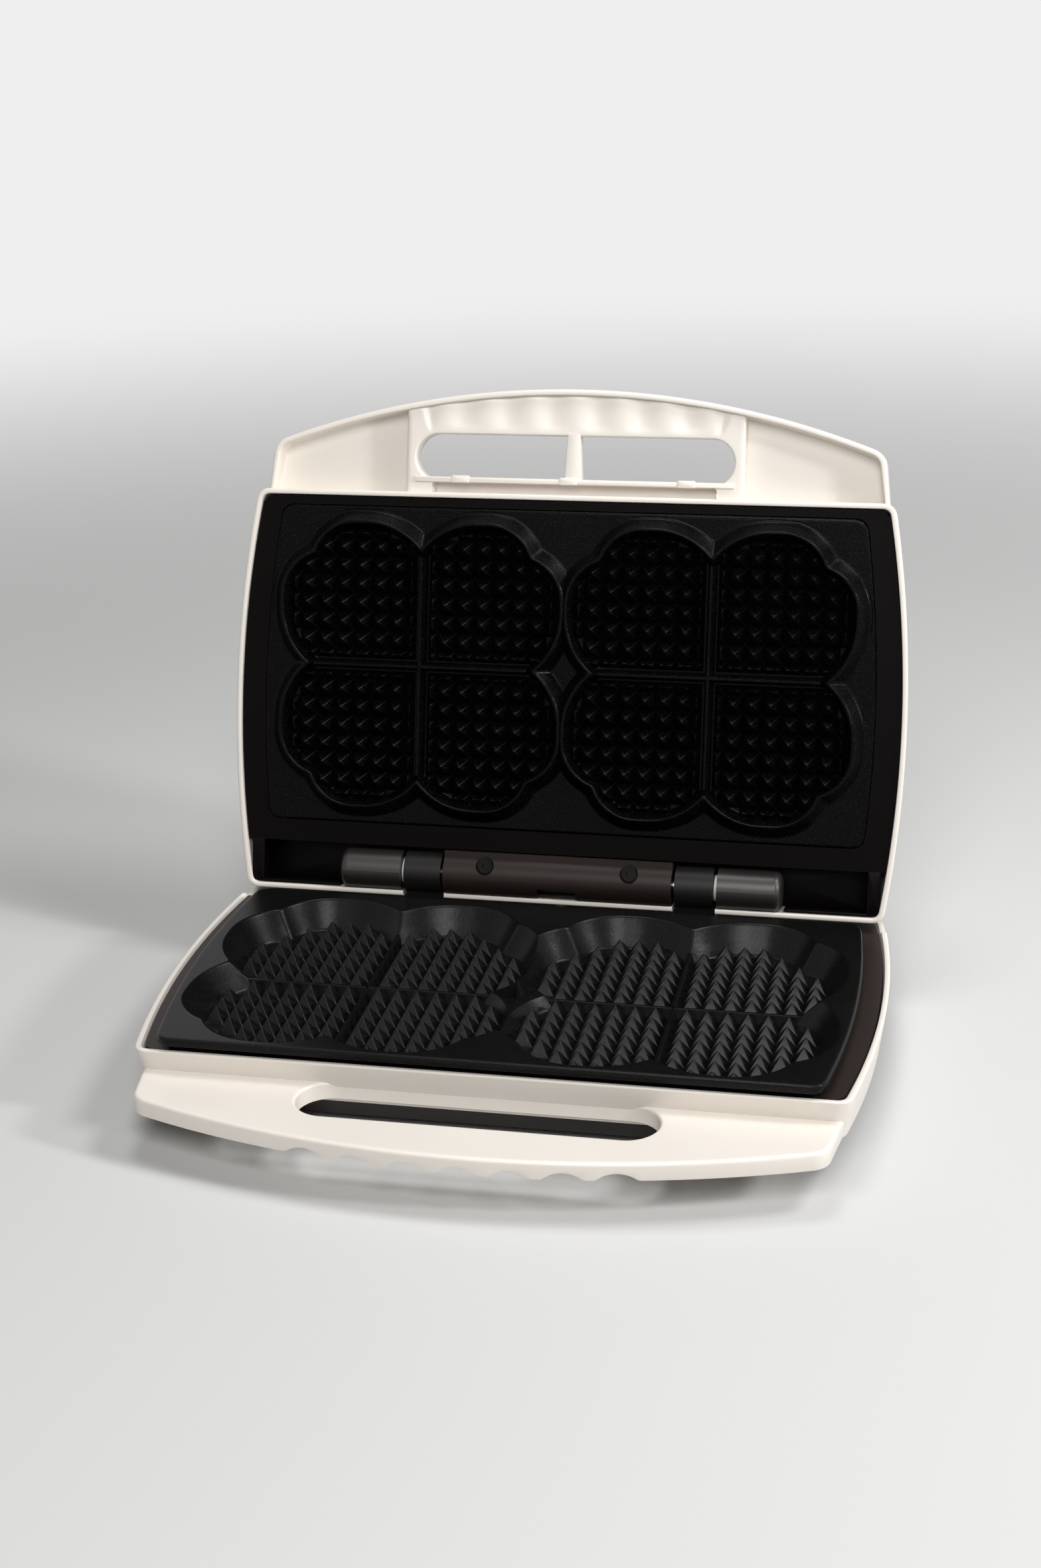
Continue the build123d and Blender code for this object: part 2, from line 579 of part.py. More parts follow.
def make_saddle():
    """Inner saddle of the lid that takes the cover screws and the pins' inner ends."""
    rear_y = hinge_y + 6.5
    saddle = box(-cover_half, cover_half, 87.7, rear_y, hinge_z + 1.1, 20.0)
    saddle -= box(14 - cover_half, cover_half - 14, hinge_y - 1.0, rear_y - 1.5, hinge_z, 17.0)
    saddle -= box(-26, 26, 86.0, rear_y - 1.5, 8.5, 17.0)
    for x in (-cover_screw_x, cover_screw_x):
        saddle -= rod_z(x, cover_screw_y, hinge_z, 16.0, screw_r)
    return saddle - rod_x(-80, 80, hinge_y, hinge_z, pin_r + 0.02)


def make_cover_screws():
    """Two recessed black screws of the hinge cover."""
    return group([screw(x, cover_screw_y, -2.9, 14.0) for x in (-cover_screw_x, cover_screw_x)])


# Heating
def make_element(z, end_y):
    """Sheathed heater tube in a loop under each waffle, with two cold ends at the rear."""
    corners = [
        (-7, end_y), (-7, 44), (-110, 44), (-110, -44), (-24, -44), (-24, 8), (24, 8), (24, -44),
        (110, -44), (110, 44), (7, 44), (7, end_y),
    ]
    radii = [6, 18, 18, 12, 12, 12, 12, 18, 18, 6]
    path = FilletPolyline([(x, y, z) for x, y in corners], radius=radii)
    return sweep(Plane(origin=path @ 0, z_dir=path % 0) * Circle(element_r), path=path)


def make_element_ends(z, end_y):
    """Ceramic ends and contact studs of a heater."""
    ends = []
    for x in (-7, 7):
        ends.append(rod_y(x, end_y, end_y + 2.4, z, 2.9) + rod_y(x, end_y, end_y + 7.0, z, 1.6))
    return group(ends)


def make_clamps(plate_back, away):
    """Sheet-steel saddles that hold the heater against a plate's back."""
    clamps = []
    for x in (-66, 66):
        for y in (-44, 44):
            feet = box(x - 5, x + 5, y - 11, y + 11, *sorted((plate_back, plate_back + away * 1.0)))
            arch = box(x - 5, x + 5, y - 4.6, y + 4.6, *sorted((plate_back, plate_back + away * 7.7)))
            room = box(x - 6, x + 6, y - 3.5, y + 3.5, *sorted((plate_back - away, plate_back + away * 6.6)))
            clamps.append(feet + arch - room)
    return group(clamps)


def make_tray(floor_z, rim_height, away):
    """Bright heat shield behind a heater: a folded tray open towards the plate."""
    y0, y1 = tray_y
    plan = Pos(0, (y0 + y1) / 2, 0) * RectangleRounded(2 * tray_x, y1 - y0, 8)
    inner = Pos(0, (y0 + y1) / 2, 0) * RectangleRounded(
        2 * (tray_x - tray_sheet), y1 - y0 - 2 * tray_sheet, 8 - tray_sheet)
    rim_foot = floor_z if away < 0 else floor_z + tray_sheet - rim_height
    tray = extrude(Pos(0, 0, rim_foot) * plan, amount=rim_height)
    tray -= extrude(Pos(0, 0, rim_foot + (tray_sheet if away < 0 else -1)) * inner,
                    amount=rim_height - tray_sheet + (1 if away > 0 else 2))
    for x, y in post_xy:
        tray -= rod_z(x, y, floor_z - 1, floor_z + 2, screw_r + 0.1)
    return tray - box(-13, 13, y1 - 3, y1 + 1, rim_foot - 1, rim_foot + rim_height + 1)


def make_base_tray():
    """Base heat shield."""
    return make_tray(base_tray_z, 7.0, -1) - box(-9, 9, sensor_y - 6, sensor_y + 6, -27, -24)


def make_lid_tray():
    """Lid heat shield, with a window for the thermostat tabs."""
    tray = make_tray(lid_tray_z, 7.0, 1)
    for x, y in lid_tower_xy:
        tray -= rod_z(x, y, lid_tray_z - 1, lid_tray_z + 2, screw_r + 0.1)
    return tray - box(-9, 9, sensor_y - 6, sensor_y + 6, lid_tray_z - 1, lid_tray_z + 2)


# Electrical parts
def wire(points, bend):
    """Round lead through a few corners."""
    path = FilletPolyline(points, radius=bend)
    return sweep(Plane(origin=path @ 0, z_dir=path % 0) * Circle(wire_r), path=path)


def make_gland():
    """Flanged cord bushing in the rear wall, bored for a round cord."""
    bush = rod_y(gland_x, 92.0, 103.5, gland_z, gland_r)
    flange = rod_y(gland_x, 103.5, 105.9, gland_z, gland_r + 1.6)
    return bush + flange - rod_y(gland_x, 91, 108, gland_z, cord_hole_r)


def make_cord_clamp():
    """Clamp post on the pan that grips the cord behind its bushing."""
    block = box(gland_x - 11, gland_x + 11, 87.4, 91.6, pan_z + 2.3, -15.4)
    block -= rod_y(gland_x, 87, 92, gland_z, cord_hole_r)
    for x in (gland_x - 8, gland_x + 8):
        block -= rod_z(x, 89.5, -28, -15, 1.3)
    return block


def make_terminal_block():
    """Three-way porcelain terminal block with brass screws' wells."""
    block = box(-86, -50, 70.5, 82.5, pan_z + 2.3, -21.5)
    for x in (-80, -68, -56):
        block -= rod_z(x, 76.5, -27.0, -21.0, 2.6)
        block -= rod_y(x, 69, 84, -29.0, 1.8)
    return block


def make_terminal_screws():
    """Brass screws of the terminal block."""
    screws = []
    for x in (-80, -68, -56):
        screws.append(rod_z(x, 76.5, -27.0, -22.6, 2.5) - box(x - 3, x + 3, 76.1, 76.9, -23.6, -22))
    return group(screws)


def make_fuse():
    """Thermal fuse in its sleeve under the base plate."""
    body = rod_x(-6.0, 6.0, sensor_y, -19.0, 2.2)
    tails = rod_x(-16.0, 16.0, sensor_y, -19.0, 0.6)
    return body + tails


def make_fuse_clip():
    """Spring clip that holds the fuse to the plate."""
    strap = box(-3, 3, sensor_y - 8, sensor_y + 8, -22.2, -16.65)
    room = box(-4, 4, sensor_y - 2.4, sensor_y + 2.4, -21.4, -16)
    rear_step = box(-4, 4, sensor_y + 3.2, sensor_y + 9, -23, -17.5)
    front_step = box(-4, 4, sensor_y - 9, sensor_y - 3.2, -23, -17.5)
    return strap - room - rear_step - front_step


def make_thermostat():
    """Disc thermostat on the back of the lid plate, with two tabs."""
    cap = rod_z(0, sensor_y, 7.5, 13.0, 7.8)
    flange = rod_z(0, sensor_y, 7.5, 8.4, 9.6)
    tabs = [box(x - 0.4, x + 0.4, sensor_y - 3, sensor_y + 3, 13.0, 19.5) for x in (-5, 5)]
    return cap + flange + tabs[0] + tabs[1]


def make_base_leads():
    """Leads from the terminal block to the base heater's studs."""
    leads = []
    for x, y in ((-7, 74.5), (7, 79.0)):
        z = base_element_z
        leads.append(wire([(-49.9, y, -29.0), (x, y, -29.0), (x, y, z), (x, 69.1, z)], [4, 4]))
    return group(leads)


def make_lid_leads():
    """Leads inside the lid, from heater and thermostat back to the hinge passage."""
    leads = []
    for x in (-7, 7):
        z = lid_element_z
        leads.append(wire([(x, 69.1, z), (x, 75.5, z), (x, 75.5, 22.0), (x, 85.0, 22.0)], [4, 4]))
    for x in (-3.5, 3.5):
        leads.append(wire([(x, sensor_y, 18.5), (x, sensor_y, 23.0), (x, 80.0, 23.0), (x, 84.0, 14.0),
                           (x, 93.0, 14.0)], [4, 4, 4]))
    return group(leads)


def make_lead_sleeve():
    """Glass-fibre sleeve that carries the lid's leads up through the deck."""
    tube = rod_z(0, sleeve_y, -30.0, deck_z, 4.6)
    return tube - rod_z(0, sleeve_y, -31.0, deck_z + 1, 3.6)


# Assembly
def lid_open(shape):
    """Turn a closed-lid shape to the open rest pose."""
    hinge = Axis((0, hinge_y, hinge_z), (1, 0, 0))
    return shape.rotate(hinge, -rest_opening)


def build():
    """All nodes in the working frame, as base and lid dictionaries."""
    base = {
        "base_shell": make_base_shell(),
        "base_pan": make_base_pan(),
        "pan_screws": group([screw(x, y, pan_z + 1.1, -19.5) for x, y in pan_screw_xy]),
        "rubber_feet": make_feet(),
        "base_bezel": make_base_bezel(),
        "base_plate": make_base_plate(),
        "base_heater": make_element(base_element_z, element_tail_y),
        "base_heater_ends": make_element_ends(base_element_z, element_tail_y),
        "base_heater_clamps": make_clamps(-16.65, -1),
        "base_heat_shield": make_base_tray(),
        "base_plate_screws": group([screw(x, y, base_tray_z - 2.25, -18.0) for x, y in post_xy]),
        "thermal_fuse": make_fuse(),
        "fuse_clip": make_fuse_clip(),
        "terminal_block": make_terminal_block(),
        "terminal_screws": make_terminal_screws(),
        "base_leads": make_base_leads(),
        "lead_sleeve": make_lead_sleeve(),
        "hinge_brackets": make_knuckles(),
        "hinge_bracket_screws": make_knuckle_screws(),
        "cord_gland": make_gland(),
        "cord_clamp": make_cord_clamp(),
    }
    lid = {
        "lid_shell": make_lid_shell(),
        "lid_bezel": make_lid_bezel(),
        "lid_plate": make_lid_plate(),
        "lid_heater": make_element(lid_element_z, element_tail_y),
        "lid_heater_ends": make_element_ends(lid_element_z, element_tail_y),
        "lid_heater_clamps": make_clamps(7.45, 1),
        "lid_heat_shield": make_lid_tray(),
        "lid_plate_screws": group([screw(x, y, lid_tray_z + tray_sheet + 2.25, 9.4) for x, y in post_xy]),
        "lid_shield_screws": group([screw(x, y, lid_tray_z - 2.25, 24.0) for x, y in lid_tower_xy]),
        "thermostat": make_thermostat(),
        "lid_leads": make_lid_leads(),
        "hinge_barrels": make_barrels(),
        "hinge_barrel_screws": make_barrel_screws(),
        "hinge_pins": make_pins(),
        "hinge_washers": make_washers(),
        "hinge_cover": make_hinge_cover(),
        "hinge_saddle": make_saddle(),
        "hinge_cover_screws": make_cover_screws(),
        "power_lens": make_lens(lamp_x[0]),
        "ready_lens": make_lens(lamp_x[1]),
        "indicator_lamps": make_lamps(),
        "lamp_holder": make_lamp_holder(),
    }
    return base, lid


base_parts, lid_parts = build()
nodes = dict(base_parts)
nodes.update({name: lid_open(shape) for name, shape in lid_parts.items()})
boxes = [shape.bounding_box() for shape in nodes.values()]
shift_y = -(min(b.min.Y for b in boxes) + max(b.max.Y for b in boxes)) / 2
os.makedirs("parts", exist_ok=True)
for name, shape in nodes.items():
    export_step(Pos(0, shift_y, stand_height) * shape, "parts/" + name + ".step")
print("shift_y", round(shift_y, 3), "hinge at", round(hinge_y + shift_y, 3), hinge_z + stand_height)
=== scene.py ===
import itertools
import json
import math
import bpy
import numpy as np
from mathutils import Matrix, Vector


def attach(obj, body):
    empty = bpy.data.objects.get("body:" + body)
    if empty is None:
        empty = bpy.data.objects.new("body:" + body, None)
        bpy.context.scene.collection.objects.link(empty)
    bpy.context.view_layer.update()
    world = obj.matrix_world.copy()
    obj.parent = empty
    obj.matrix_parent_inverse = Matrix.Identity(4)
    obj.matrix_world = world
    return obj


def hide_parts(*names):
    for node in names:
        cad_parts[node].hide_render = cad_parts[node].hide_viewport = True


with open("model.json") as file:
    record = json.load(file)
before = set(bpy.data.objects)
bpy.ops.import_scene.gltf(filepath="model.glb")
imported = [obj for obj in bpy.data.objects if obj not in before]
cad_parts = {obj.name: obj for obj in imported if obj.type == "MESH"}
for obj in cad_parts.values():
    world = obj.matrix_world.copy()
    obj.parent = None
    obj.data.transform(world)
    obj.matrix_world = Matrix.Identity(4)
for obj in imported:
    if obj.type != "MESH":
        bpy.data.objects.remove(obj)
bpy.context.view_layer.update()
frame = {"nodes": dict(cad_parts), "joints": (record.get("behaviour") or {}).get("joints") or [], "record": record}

# The shapes are worked out in millimetres in the closed machine: X to the right, Y to the
# hinge, Z up from the parting plane of the plates. toFrame opens the lid and moves them.
hinge = {"y": 95.7, "z": 5.2, "open": 105.0}
hingePlace = frame["joints"][0]["pos_m"]
liftUp = hingePlace[2] * 1000 - hinge["z"]
moveBack = hingePlace[1] * 1000 - hinge["y"]


def toFrame(points, onLid):
    # turns about the hinge line, then shifts; millimetres become metres
    x, y, z = points[..., 0], points[..., 1], points[..., 2]
    if onLid:
        turn = math.radians(hinge["open"])
        dy, dz = y - hinge["y"], z - hinge["z"]
        y = hinge["y"] + dy * math.cos(turn) + dz * math.sin(turn)
        z = hinge["z"] - dy * math.sin(turn) + dz * math.cos(turn)
    return np.stack([x, y + moveBack, z + liftUp], axis=-1) / 1000


# Meshes
sharpFrom = 32  # edges that bend by more degrees than this stay sharp
quarters = [(0, 1, 1), (90, -1, 1), (180, -1, -1), (270, 1, -1)]  # start angle and side of four corner arcs


def gridFaces(rows, columns, closeRows=False, closeColumns=False):
    # quads between neighbours of a grid of points
    row = np.arange(rows if closeRows else rows - 1)[:, None]
    column = np.arange(columns if closeColumns else columns - 1)[None, :]
    nextRow, nextColumn = (row + 1) % rows, (column + 1) % columns
    corners = [row * columns + column, row * columns + nextColumn,
               nextRow * columns + nextColumn, nextRow * columns + column]
    return np.stack(np.broadcast_arrays(*corners), axis=-1).reshape(-1, 4)


def grid(points, closeRows=False, closeColumns=False):
    # one part from an array of points, rows by columns by 3
    rows, columns = points.shape[:2]
    return points.reshape(-1, 3), gridFaces(rows, columns, closeRows, closeColumns)


def raised(flat, z):
    # rows of x and y lifted to one height
    return np.column_stack([flat, np.full(len(flat), float(z))])


def tube(rings):
    # rings by points by 3: rings closed round, the first and last ring drawn to their middle points
    first = np.broadcast_to(rings[0].mean(axis=0), rings[0].shape)
    last = np.broadcast_to(rings[-1].mean(axis=0), rings[-1].shape)
    return grid(np.concatenate([first[None], rings, last[None]]), closeColumns=True)


def weld(points, faces):
    # joins points that lie together and drops faces that this empties
    keys = np.round(points, 4)
    kept, index = np.unique(keys, axis=0, return_inverse=True)
    faces = index.reshape(-1)[faces]
    following = np.roll(faces, -1, axis=1)
    same = faces == following
    quads = faces[~same.any(axis=1)]
    thin = faces[same.sum(axis=1) == 1]
    at = np.argmax(thin == np.roll(thin, -1, axis=1), axis=1)
    keep = (np.arange(3)[None, :] + at[:, None] + 1) % 4
    triangles = np.take_along_axis(thin, keep, axis=1)
    distinct = (triangles[:, 0] != triangles[:, 1]) & (triangles[:, 1] != triangles[:, 2])
    triangles = triangles[distinct & (triangles[:, 0] != triangles[:, 2])]
    quads = quads[(quads[:, 0] != quads[:, 2]) & (quads[:, 1] != quads[:, 3])]
    return kept, quads, triangles


def outward(points, quads, triangles):
    # turns every face round if the volume that they enclose comes out negative
    fans = np.concatenate([quads[:, [0, 1, 2]], quads[:, [0, 2, 3]], triangles])
    a, b, c = (points[fans[:, corner]] for corner in range(3))
    if np.einsum("ij,ij->i", a, np.cross(b, c)).sum() < 0:
        return quads[:, ::-1], triangles[:, ::-1]
    return quads, triangles


def placed(name, content):
    # an object that holds this mesh, light or camera, in the scene
    holder = bpy.data.objects.new(name, content)
    bpy.context.scene.collection.objects.link(holder)
    return holder


def smoothMesh(name, points, faces):
    mesh = bpy.data.meshes.new(name)
    mesh.from_pydata(points.tolist(), [], faces)
    mesh.polygons.foreach_set("use_smooth", np.ones(len(mesh.polygons), bool))
    return mesh


def makePiece(name, parts, slot, body, replaced=(), look=None):
    # one object from closed parts given in working millimetres; look names a finish other than its slot's
    allPoints, allFaces, start = [], [], 0
    for points, faces in parts:
        points, quads, triangles = weld(points, faces)
        points = toFrame(points, body == "lid")
        quads, triangles = outward(points, quads, triangles)
        allPoints.append(points)
        allFaces += (quads + start).tolist() + (triangles + start).tolist()
        start += len(points)
    mesh = smoothMesh(name, np.concatenate(allPoints), allFaces)
    mesh.set_sharp_from_angle(angle=math.radians(sharpFrom))
    mesh.update()
    piece = placed(name, mesh)
    mesh.materials.append(finishes[look or slot])
    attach(piece, body)
    if replaced:
        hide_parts(*replaced)
    print(name, len(mesh.vertices), "points,", len(mesh.polygons), "faces")


def arcPoints(centreX, centreY, radius, start, end, count):
    # points of an arc in degrees, as rows of x and y
    angles = np.radians(np.linspace(start, end, count))
    return np.stack([centreX + radius * np.cos(angles), centreY + radius * np.sin(angles)], axis=-1)


def box(x0, x1, y0, y1, z0, z1, soft=0.6):
    # block with rounded upright edges and softened rims: a rounded rectangle drawn in at both ends
    halfX, halfY = (x1 - x0) / 2, (y1 - y0) / 2
    middle = np.array([(x0 + x1) / 2, (y0 + y1) / 2])
    soft = min(soft, halfX * 0.9, halfY * 0.9, (z1 - z0) * 0.45)
    rings = []
    for inset, z in [(soft, z0), (soft * 0.3, z0 + soft * 0.3), (0, z0 + soft),
                     (0, z1 - soft), (soft * 0.3, z1 - soft * 0.3), (soft, z1)]:
        flat = roundedRectangle(halfX - inset, halfY - inset, max(soft - inset, 0.02)) + middle
        rings.append(raised(flat, z))
    return tube(np.array(rings))


def roundedRectangle(halfX, halfY, radius):
    # four corner arcs, counter-clockwise from the right side
    corners = []
    for start, signX, signY in quarters:
        corners.append(arcPoints(signX * (halfX - radius), signY * (halfY - radius), radius,
                                 start, start + 90, 4))
    return np.concatenate(corners)


def tower(place, radius, low, high, count=24):
    # upright round post
    circle = arcPoints(*place, radius, 0, 360 - 360 / count, count)
    return tube(np.array([np.column_stack([circle, np.full(count, z)]) for z in (low, high)]))


# Finishes
class Wire:
    # a node's output that Python's operators turn into Math nodes
    def __init__(self, finish, socket):
        self.finish, self.socket = finish, socket

    def math(self, operation, other):
        return self.finish.add("ShaderNodeMath", {"operation": operation}, {0: self, 1: other})

    def __add__(self, other):
        return self.math("ADD", other)

    __radd__ = __add__

    def __mul__(self, other):
        return self.math("MULTIPLY", other)


class Finish:
    # one Principled material; fixed values sit on the shader's own sockets
    def __init__(self, name, colour, roughness, metallic=0.0, **fixed):
        self.material = bpy.data.materials.new(name)
        self.material.use_nodes = True
        self.tree = self.material.node_tree
        self.shader = self.tree.nodes["Principled BSDF"]
        self.set("Base Color", (*colour, 1.0))
        self.set("Roughness", roughness)
        self.set("Metallic", metallic)
        for socket, value in fixed.items():
            self.set(socket.replace("_", " "), value)
        self.place = self.add("ShaderNodeTexCoord", {}, {}, "Object")

    def add(self, kind, settings, sockets, output=0):
        node = self.tree.nodes.new(kind)
        for key, value in settings.items():
            if key == "stops":
                ramp = node.color_ramp.elements
                while len(ramp) < len(value):
                    ramp.new(0.5)
                for element, (at, tone) in zip(ramp, value):
                    element.position, element.color = at, (tone, tone, tone, 1.0)
            else:
                setattr(node, key, value)
        for key, value in sockets.items():
            self.feed(node.inputs[key], value)
        return Wire(self, node.outputs[output])

    def feed(self, socket, value):
        if isinstance(value, Wire):
            self.tree.links.new(value.socket, socket)
        else:
            socket.default_value = value

    def set(self, name, value):
        self.feed(self.shader.inputs[name], value)

    def noise(self, size, detail=2.0, roughness=0.5, stretch=None):
        # grain whose features are about this many millimetres wide
        place = self.place
        if stretch:
            place = self.add("ShaderNodeMapping", {}, {"Vector": place, "Scale": stretch})
        return self.add("ShaderNodeTexNoise", {}, {"Vector": place, "Scale": 1000 / size, "Detail": detail,
                                                   "Roughness": roughness})

    def ramp(self, factor, *stops):
        return self.add("ShaderNodeValToRGB", {"stops": stops}, {"Fac": factor})

    def blend(self, factor, first, second):
        # colours sit on sockets 6 and 7 of the Mix node
        mixed = self.add("ShaderNodeMix", {"data_type": "RGBA"}, {"Factor": factor}, 2)
        for number, colour in ((6, first), (7, second)):
            self.feed(mixed.socket.node.inputs[number], colour if isinstance(colour, Wire) else (*colour, 1.0))
        return mixed

    def paint(self, factor, first, second):
        self.set("Base Color", self.blend(factor, first, second))

    def bumped(self, height, millimetres):
        # the last step: hands back the material
        self.set("Normal", self.add("ShaderNodeBump", {}, {"Height": height, "Strength": 1.0,
                                                           "Distance": millimetres / 1000}))
        return self.material


def creamPlastic():
    # glossy moulded plastic: faint clouds of tone, fine pores and a slight ripple of the mould
    finish = Finish("cream plastic", (0.78, 0.73, 0.668), 0.3, Coat_Roughness=0.2, Coat_Weight=0.12)
    clouds = finish.noise(38, 3)
    fine = finish.noise(0.7, 2)
    ripple = finish.noise(14, 2)
    finish.paint(clouds, (0.755, 0.703, 0.640), (0.79, 0.738, 0.675))
    finish.set("Roughness", 0.27 + clouds * 0.1 + fine * 0.05)
    return finish.bumped(fine * 0.25 + ripple * 0.75, 0.05)


def grainedPlastic(name, low, high, roughness, grain=0.55, depth=0.045, shine=0.5):
    # heat-resistant plastic with a spark-eroded grain
    finish = Finish(name, low, roughness, Specular_IOR_Level=shine)
    clouds = finish.noise(22, 3)
    fine = finish.noise(grain, 3, 0.65)
    finish.paint(clouds * 0.6 + fine * 0.4, low, high)
    finish.set("Roughness", roughness - 0.08 + fine * 0.16)
    return finish.bumped(fine, depth)


def nonstickCoat(name, low, high, roughness, shine):
    # sprayed coating on a cast plate: orange peel, fine pale flecks and dull patches
    finish = Finish(name, low, roughness, Specular_IOR_Level=shine)
    peel = finish.noise(1.5, 3, 0.6)
    speck = finish.noise(0.42, 2, 0.6)
    clouds = finish.noise(30, 3)
    flecks = finish.ramp(speck, (0.0, 0.0), (0.60, 0.0), (0.70, 1.0))
    dark = finish.blend(clouds, low, high)
    finish.paint(flecks * 0.5, dark, (0.045, 0.043, 0.042))
    finish.set("Roughness", roughness - 0.10 + clouds * 0.10 + peel * 0.12)
    return finish.bumped(peel * 0.55 + speck * 0.45, 0.10)


def metal(name, low, high, roughness, stretch=None):
    # bare or plated metal with drawn or rolled streaks and a little dulling
    finish = Finish(name, low, roughness, metallic=1.0)
    streaks = finish.noise(1.2, 4, 0.7, stretch)
    clouds = finish.noise(16, 3)
    finish.paint(clouds, low, high)
    finish.set("Roughness", roughness - 0.08 + streaks * 0.12 + clouds * 0.08)
    return finish.bumped(streaks, 0.02)


def braid(name, low, high):
    # woven glass sleeve: two crossed waves
    finish = Finish(name, low, 0.75)
    weave = [finish.add("ShaderNodeTexWave", {"bands_direction": way}, {
        "Vector": finish.place, "Scale": 420.0, "Distortion": 1.5}, "Fac") for way in ("DIAGONAL", "Z")]
    cloth = weave[0] * weave[1]
    finish.paint(cloth, low, high)
    return finish.bumped(cloth, 0.15)


def clearPlastic(name, low, high, through):
    # tinted lens with a faint mould texture
    finish = Finish(name, low, 0.12, Transmission_Weight=through, IOR=1.49)
    clouds = finish.noise(3, 2)
    finish.paint(clouds, low, high)
    finish.set("Roughness", 0.08 + clouds * 0.08)
    return finish.bumped(clouds, 0.02)


finishes = {
    "cream_plastic": creamPlastic(),
    "dark_plastic": grainedPlastic("dark brown plastic", (0.0125, 0.0083, 0.007), (0.019, 0.0127, 0.0105),
                                   0.40, shine=0.16),
    # the dark brown plastic again, painted about ten times darker: painted shade on the open lid's bezel and lining
    "painted_shade_plastic": grainedPlastic("dark brown plastic painted in shade", (0.0012, 0.0008, 0.0007),
                                     (0.0024, 0.0016, 0.0014), 0.40, shine=0.05),
    "black_plastic": grainedPlastic("black plastic", (0.006, 0.0052, 0.005), (0.010, 0.009, 0.0086),
                                    0.44, shine=0.18),
    "satin_black_plastic": grainedPlastic("satin black plastic", (0.012, 0.0105, 0.0098),
                                          (0.019, 0.017, 0.016), 0.37, 0.4, 0.03, 0.48),
    "nonstick_base": nonstickCoat("non-stick base", (0.0028, 0.0027, 0.0027), (0.0055, 0.0052, 0.005),
                                  0.22, 0.11),
    # the same coat as the base's, painted about five times darker: painted shade on the open lid's plate
    "nonstick_lid": nonstickCoat("non-stick lid painted in shade", (0.0005, 0.0005, 0.0005), (0.0012, 0.0011, 0.0011),
                                 0.19, 0.06),
    "rubber": grainedPlastic("foot rubber", (0.016, 0.016, 0.016), (0.026, 0.026, 0.026), 0.72, 0.4, 0.06),
    "black_rubber": grainedPlastic("bushing rubber", (0.013, 0.013, 0.013), (0.022, 0.022, 0.022), 0.66, 0.4),
    "heater_sheath": metal("heater sheath", (0.30, 0.26, 0.22), (0.42, 0.36, 0.30), 0.42),
    "shield_sheet": metal("shield sheet", (0.68, 0.68, 0.67), (0.78, 0.78, 0.77), 0.34, (1.0, 0.08, 1.0)),
    "zinc_sheet": metal("zinc sheet", (0.58, 0.59, 0.60), (0.70, 0.71, 0.71), 0.36, (0.1, 1.0, 1.0)),
    "zinc_screw": metal("zinc screw", (0.55, 0.56, 0.58), (0.66, 0.67, 0.68), 0.30),
    "black_screw": metal("black screw", (0.012, 0.012, 0.012), (0.022, 0.022, 0.022), 0.16),
    "pin_steel": metal("pin steel", (0.62, 0.62, 0.62), (0.72, 0.72, 0.72), 0.24, (0.05, 1.0, 1.0)),
    "brass": metal("brass", (0.72, 0.52, 0.22), (0.80, 0.62, 0.30), 0.28),
    "ceramic": grainedPlastic("glazed ceramic", (0.76, 0.73, 0.66), (0.84, 0.81, 0.74), 0.30, 0.8, 0.02),
    "ceramic_white_plastic": grainedPlastic("white nylon", (0.7, 0.7, 0.69), (0.78, 0.78, 0.77), 0.5, 0.8, 0.03),
    "washer_nylon": grainedPlastic("washer nylon", (0.66, 0.66, 0.63), (0.74, 0.74, 0.71), 0.5, 0.8, 0.03),
    "lead_insulation": grainedPlastic("lead insulation", (0.5, 0.05, 0.025), (0.58, 0.07, 0.035), 0.5, 0.8, 0.03),
    "glass_sleeve": braid("glass sleeve", (0.58, 0.56, 0.48), (0.74, 0.72, 0.64)),
    "thermostat_body": grainedPlastic("thermostat body", (0.020, 0.016, 0.014), (0.034, 0.028, 0.024), 0.5),
    "red_lens": clearPlastic("red lens", (0.62, 0.03, 0.02), (0.70, 0.05, 0.03), 0.6),
    "green_lens": clearPlastic("green lens", (0.03, 0.42, 0.10), (0.05, 0.50, 0.14), 0.6),
    "lamp_glass": clearPlastic("lamp glass", (0.86, 0.80, 0.74), (0.92, 0.88, 0.84), 0.8),
}
slotOf = {part["node"]: part["material_slot"] for part in frame["record"]["subparts"]}
for node, cadPiece in frame["nodes"].items():
    # the lid's bezel gets the painted-shade copy of the dark brown plastic
    look = "painted_shade_plastic" if node == "lid_bezel" else slotOf[node]
    cadPiece.data.materials.clear()
    cadPiece.data.materials.append(finishes[look])
print("finishes on", len(slotOf), "nodes")


# Waffle moulds: four hearts round a cross. The shape is the reach, the two ends of a lobe's straight
# top, and the radii of the arcs that lead from it to the cusp and to the notch
rosette = {"centre": 66.4, "shape": (71.0, 26.0, 31.0, 39.1, 26.6), "aside": (-0.9, -0.45, 0, 0.45, 0.9)}


def rosetteRadius(angle, inset):
    # the mean of rays a little to both sides, which rounds the crests at the cusps and notches
    sides = rosette["aside"]
    return sum(sharpRadius(angle + math.radians(aside), inset) for aside in sides) / len(sides)


def sharpRadius(angle, inset):
    # a ray from the centre meets the cusp arc, then a lobe's straight top, then the notch arc
    fold = np.abs((angle + math.pi / 4) % (math.pi / 2) - math.pi / 4)
    goX, goY = np.cos(fold), np.sin(fold)

    def meet(centreX, centreY, radius):
        along = goX * centreX + goY * centreY
        return along + np.sqrt(np.maximum(radius ** 2 - centreX ** 2 - centreY ** 2 + along ** 2, 0))

    reach, near, far, cuspArc, notchArc = rosette["shape"]
    cusp = meet(reach - cuspArc, near, cuspArc - inset)
    notch = meet(reach - notchArc, far, notchArc - inset)
    top = (reach - inset) / goX
    return np.where(cusp * goY < near, cusp, np.where(top * goY < far, top, notch))


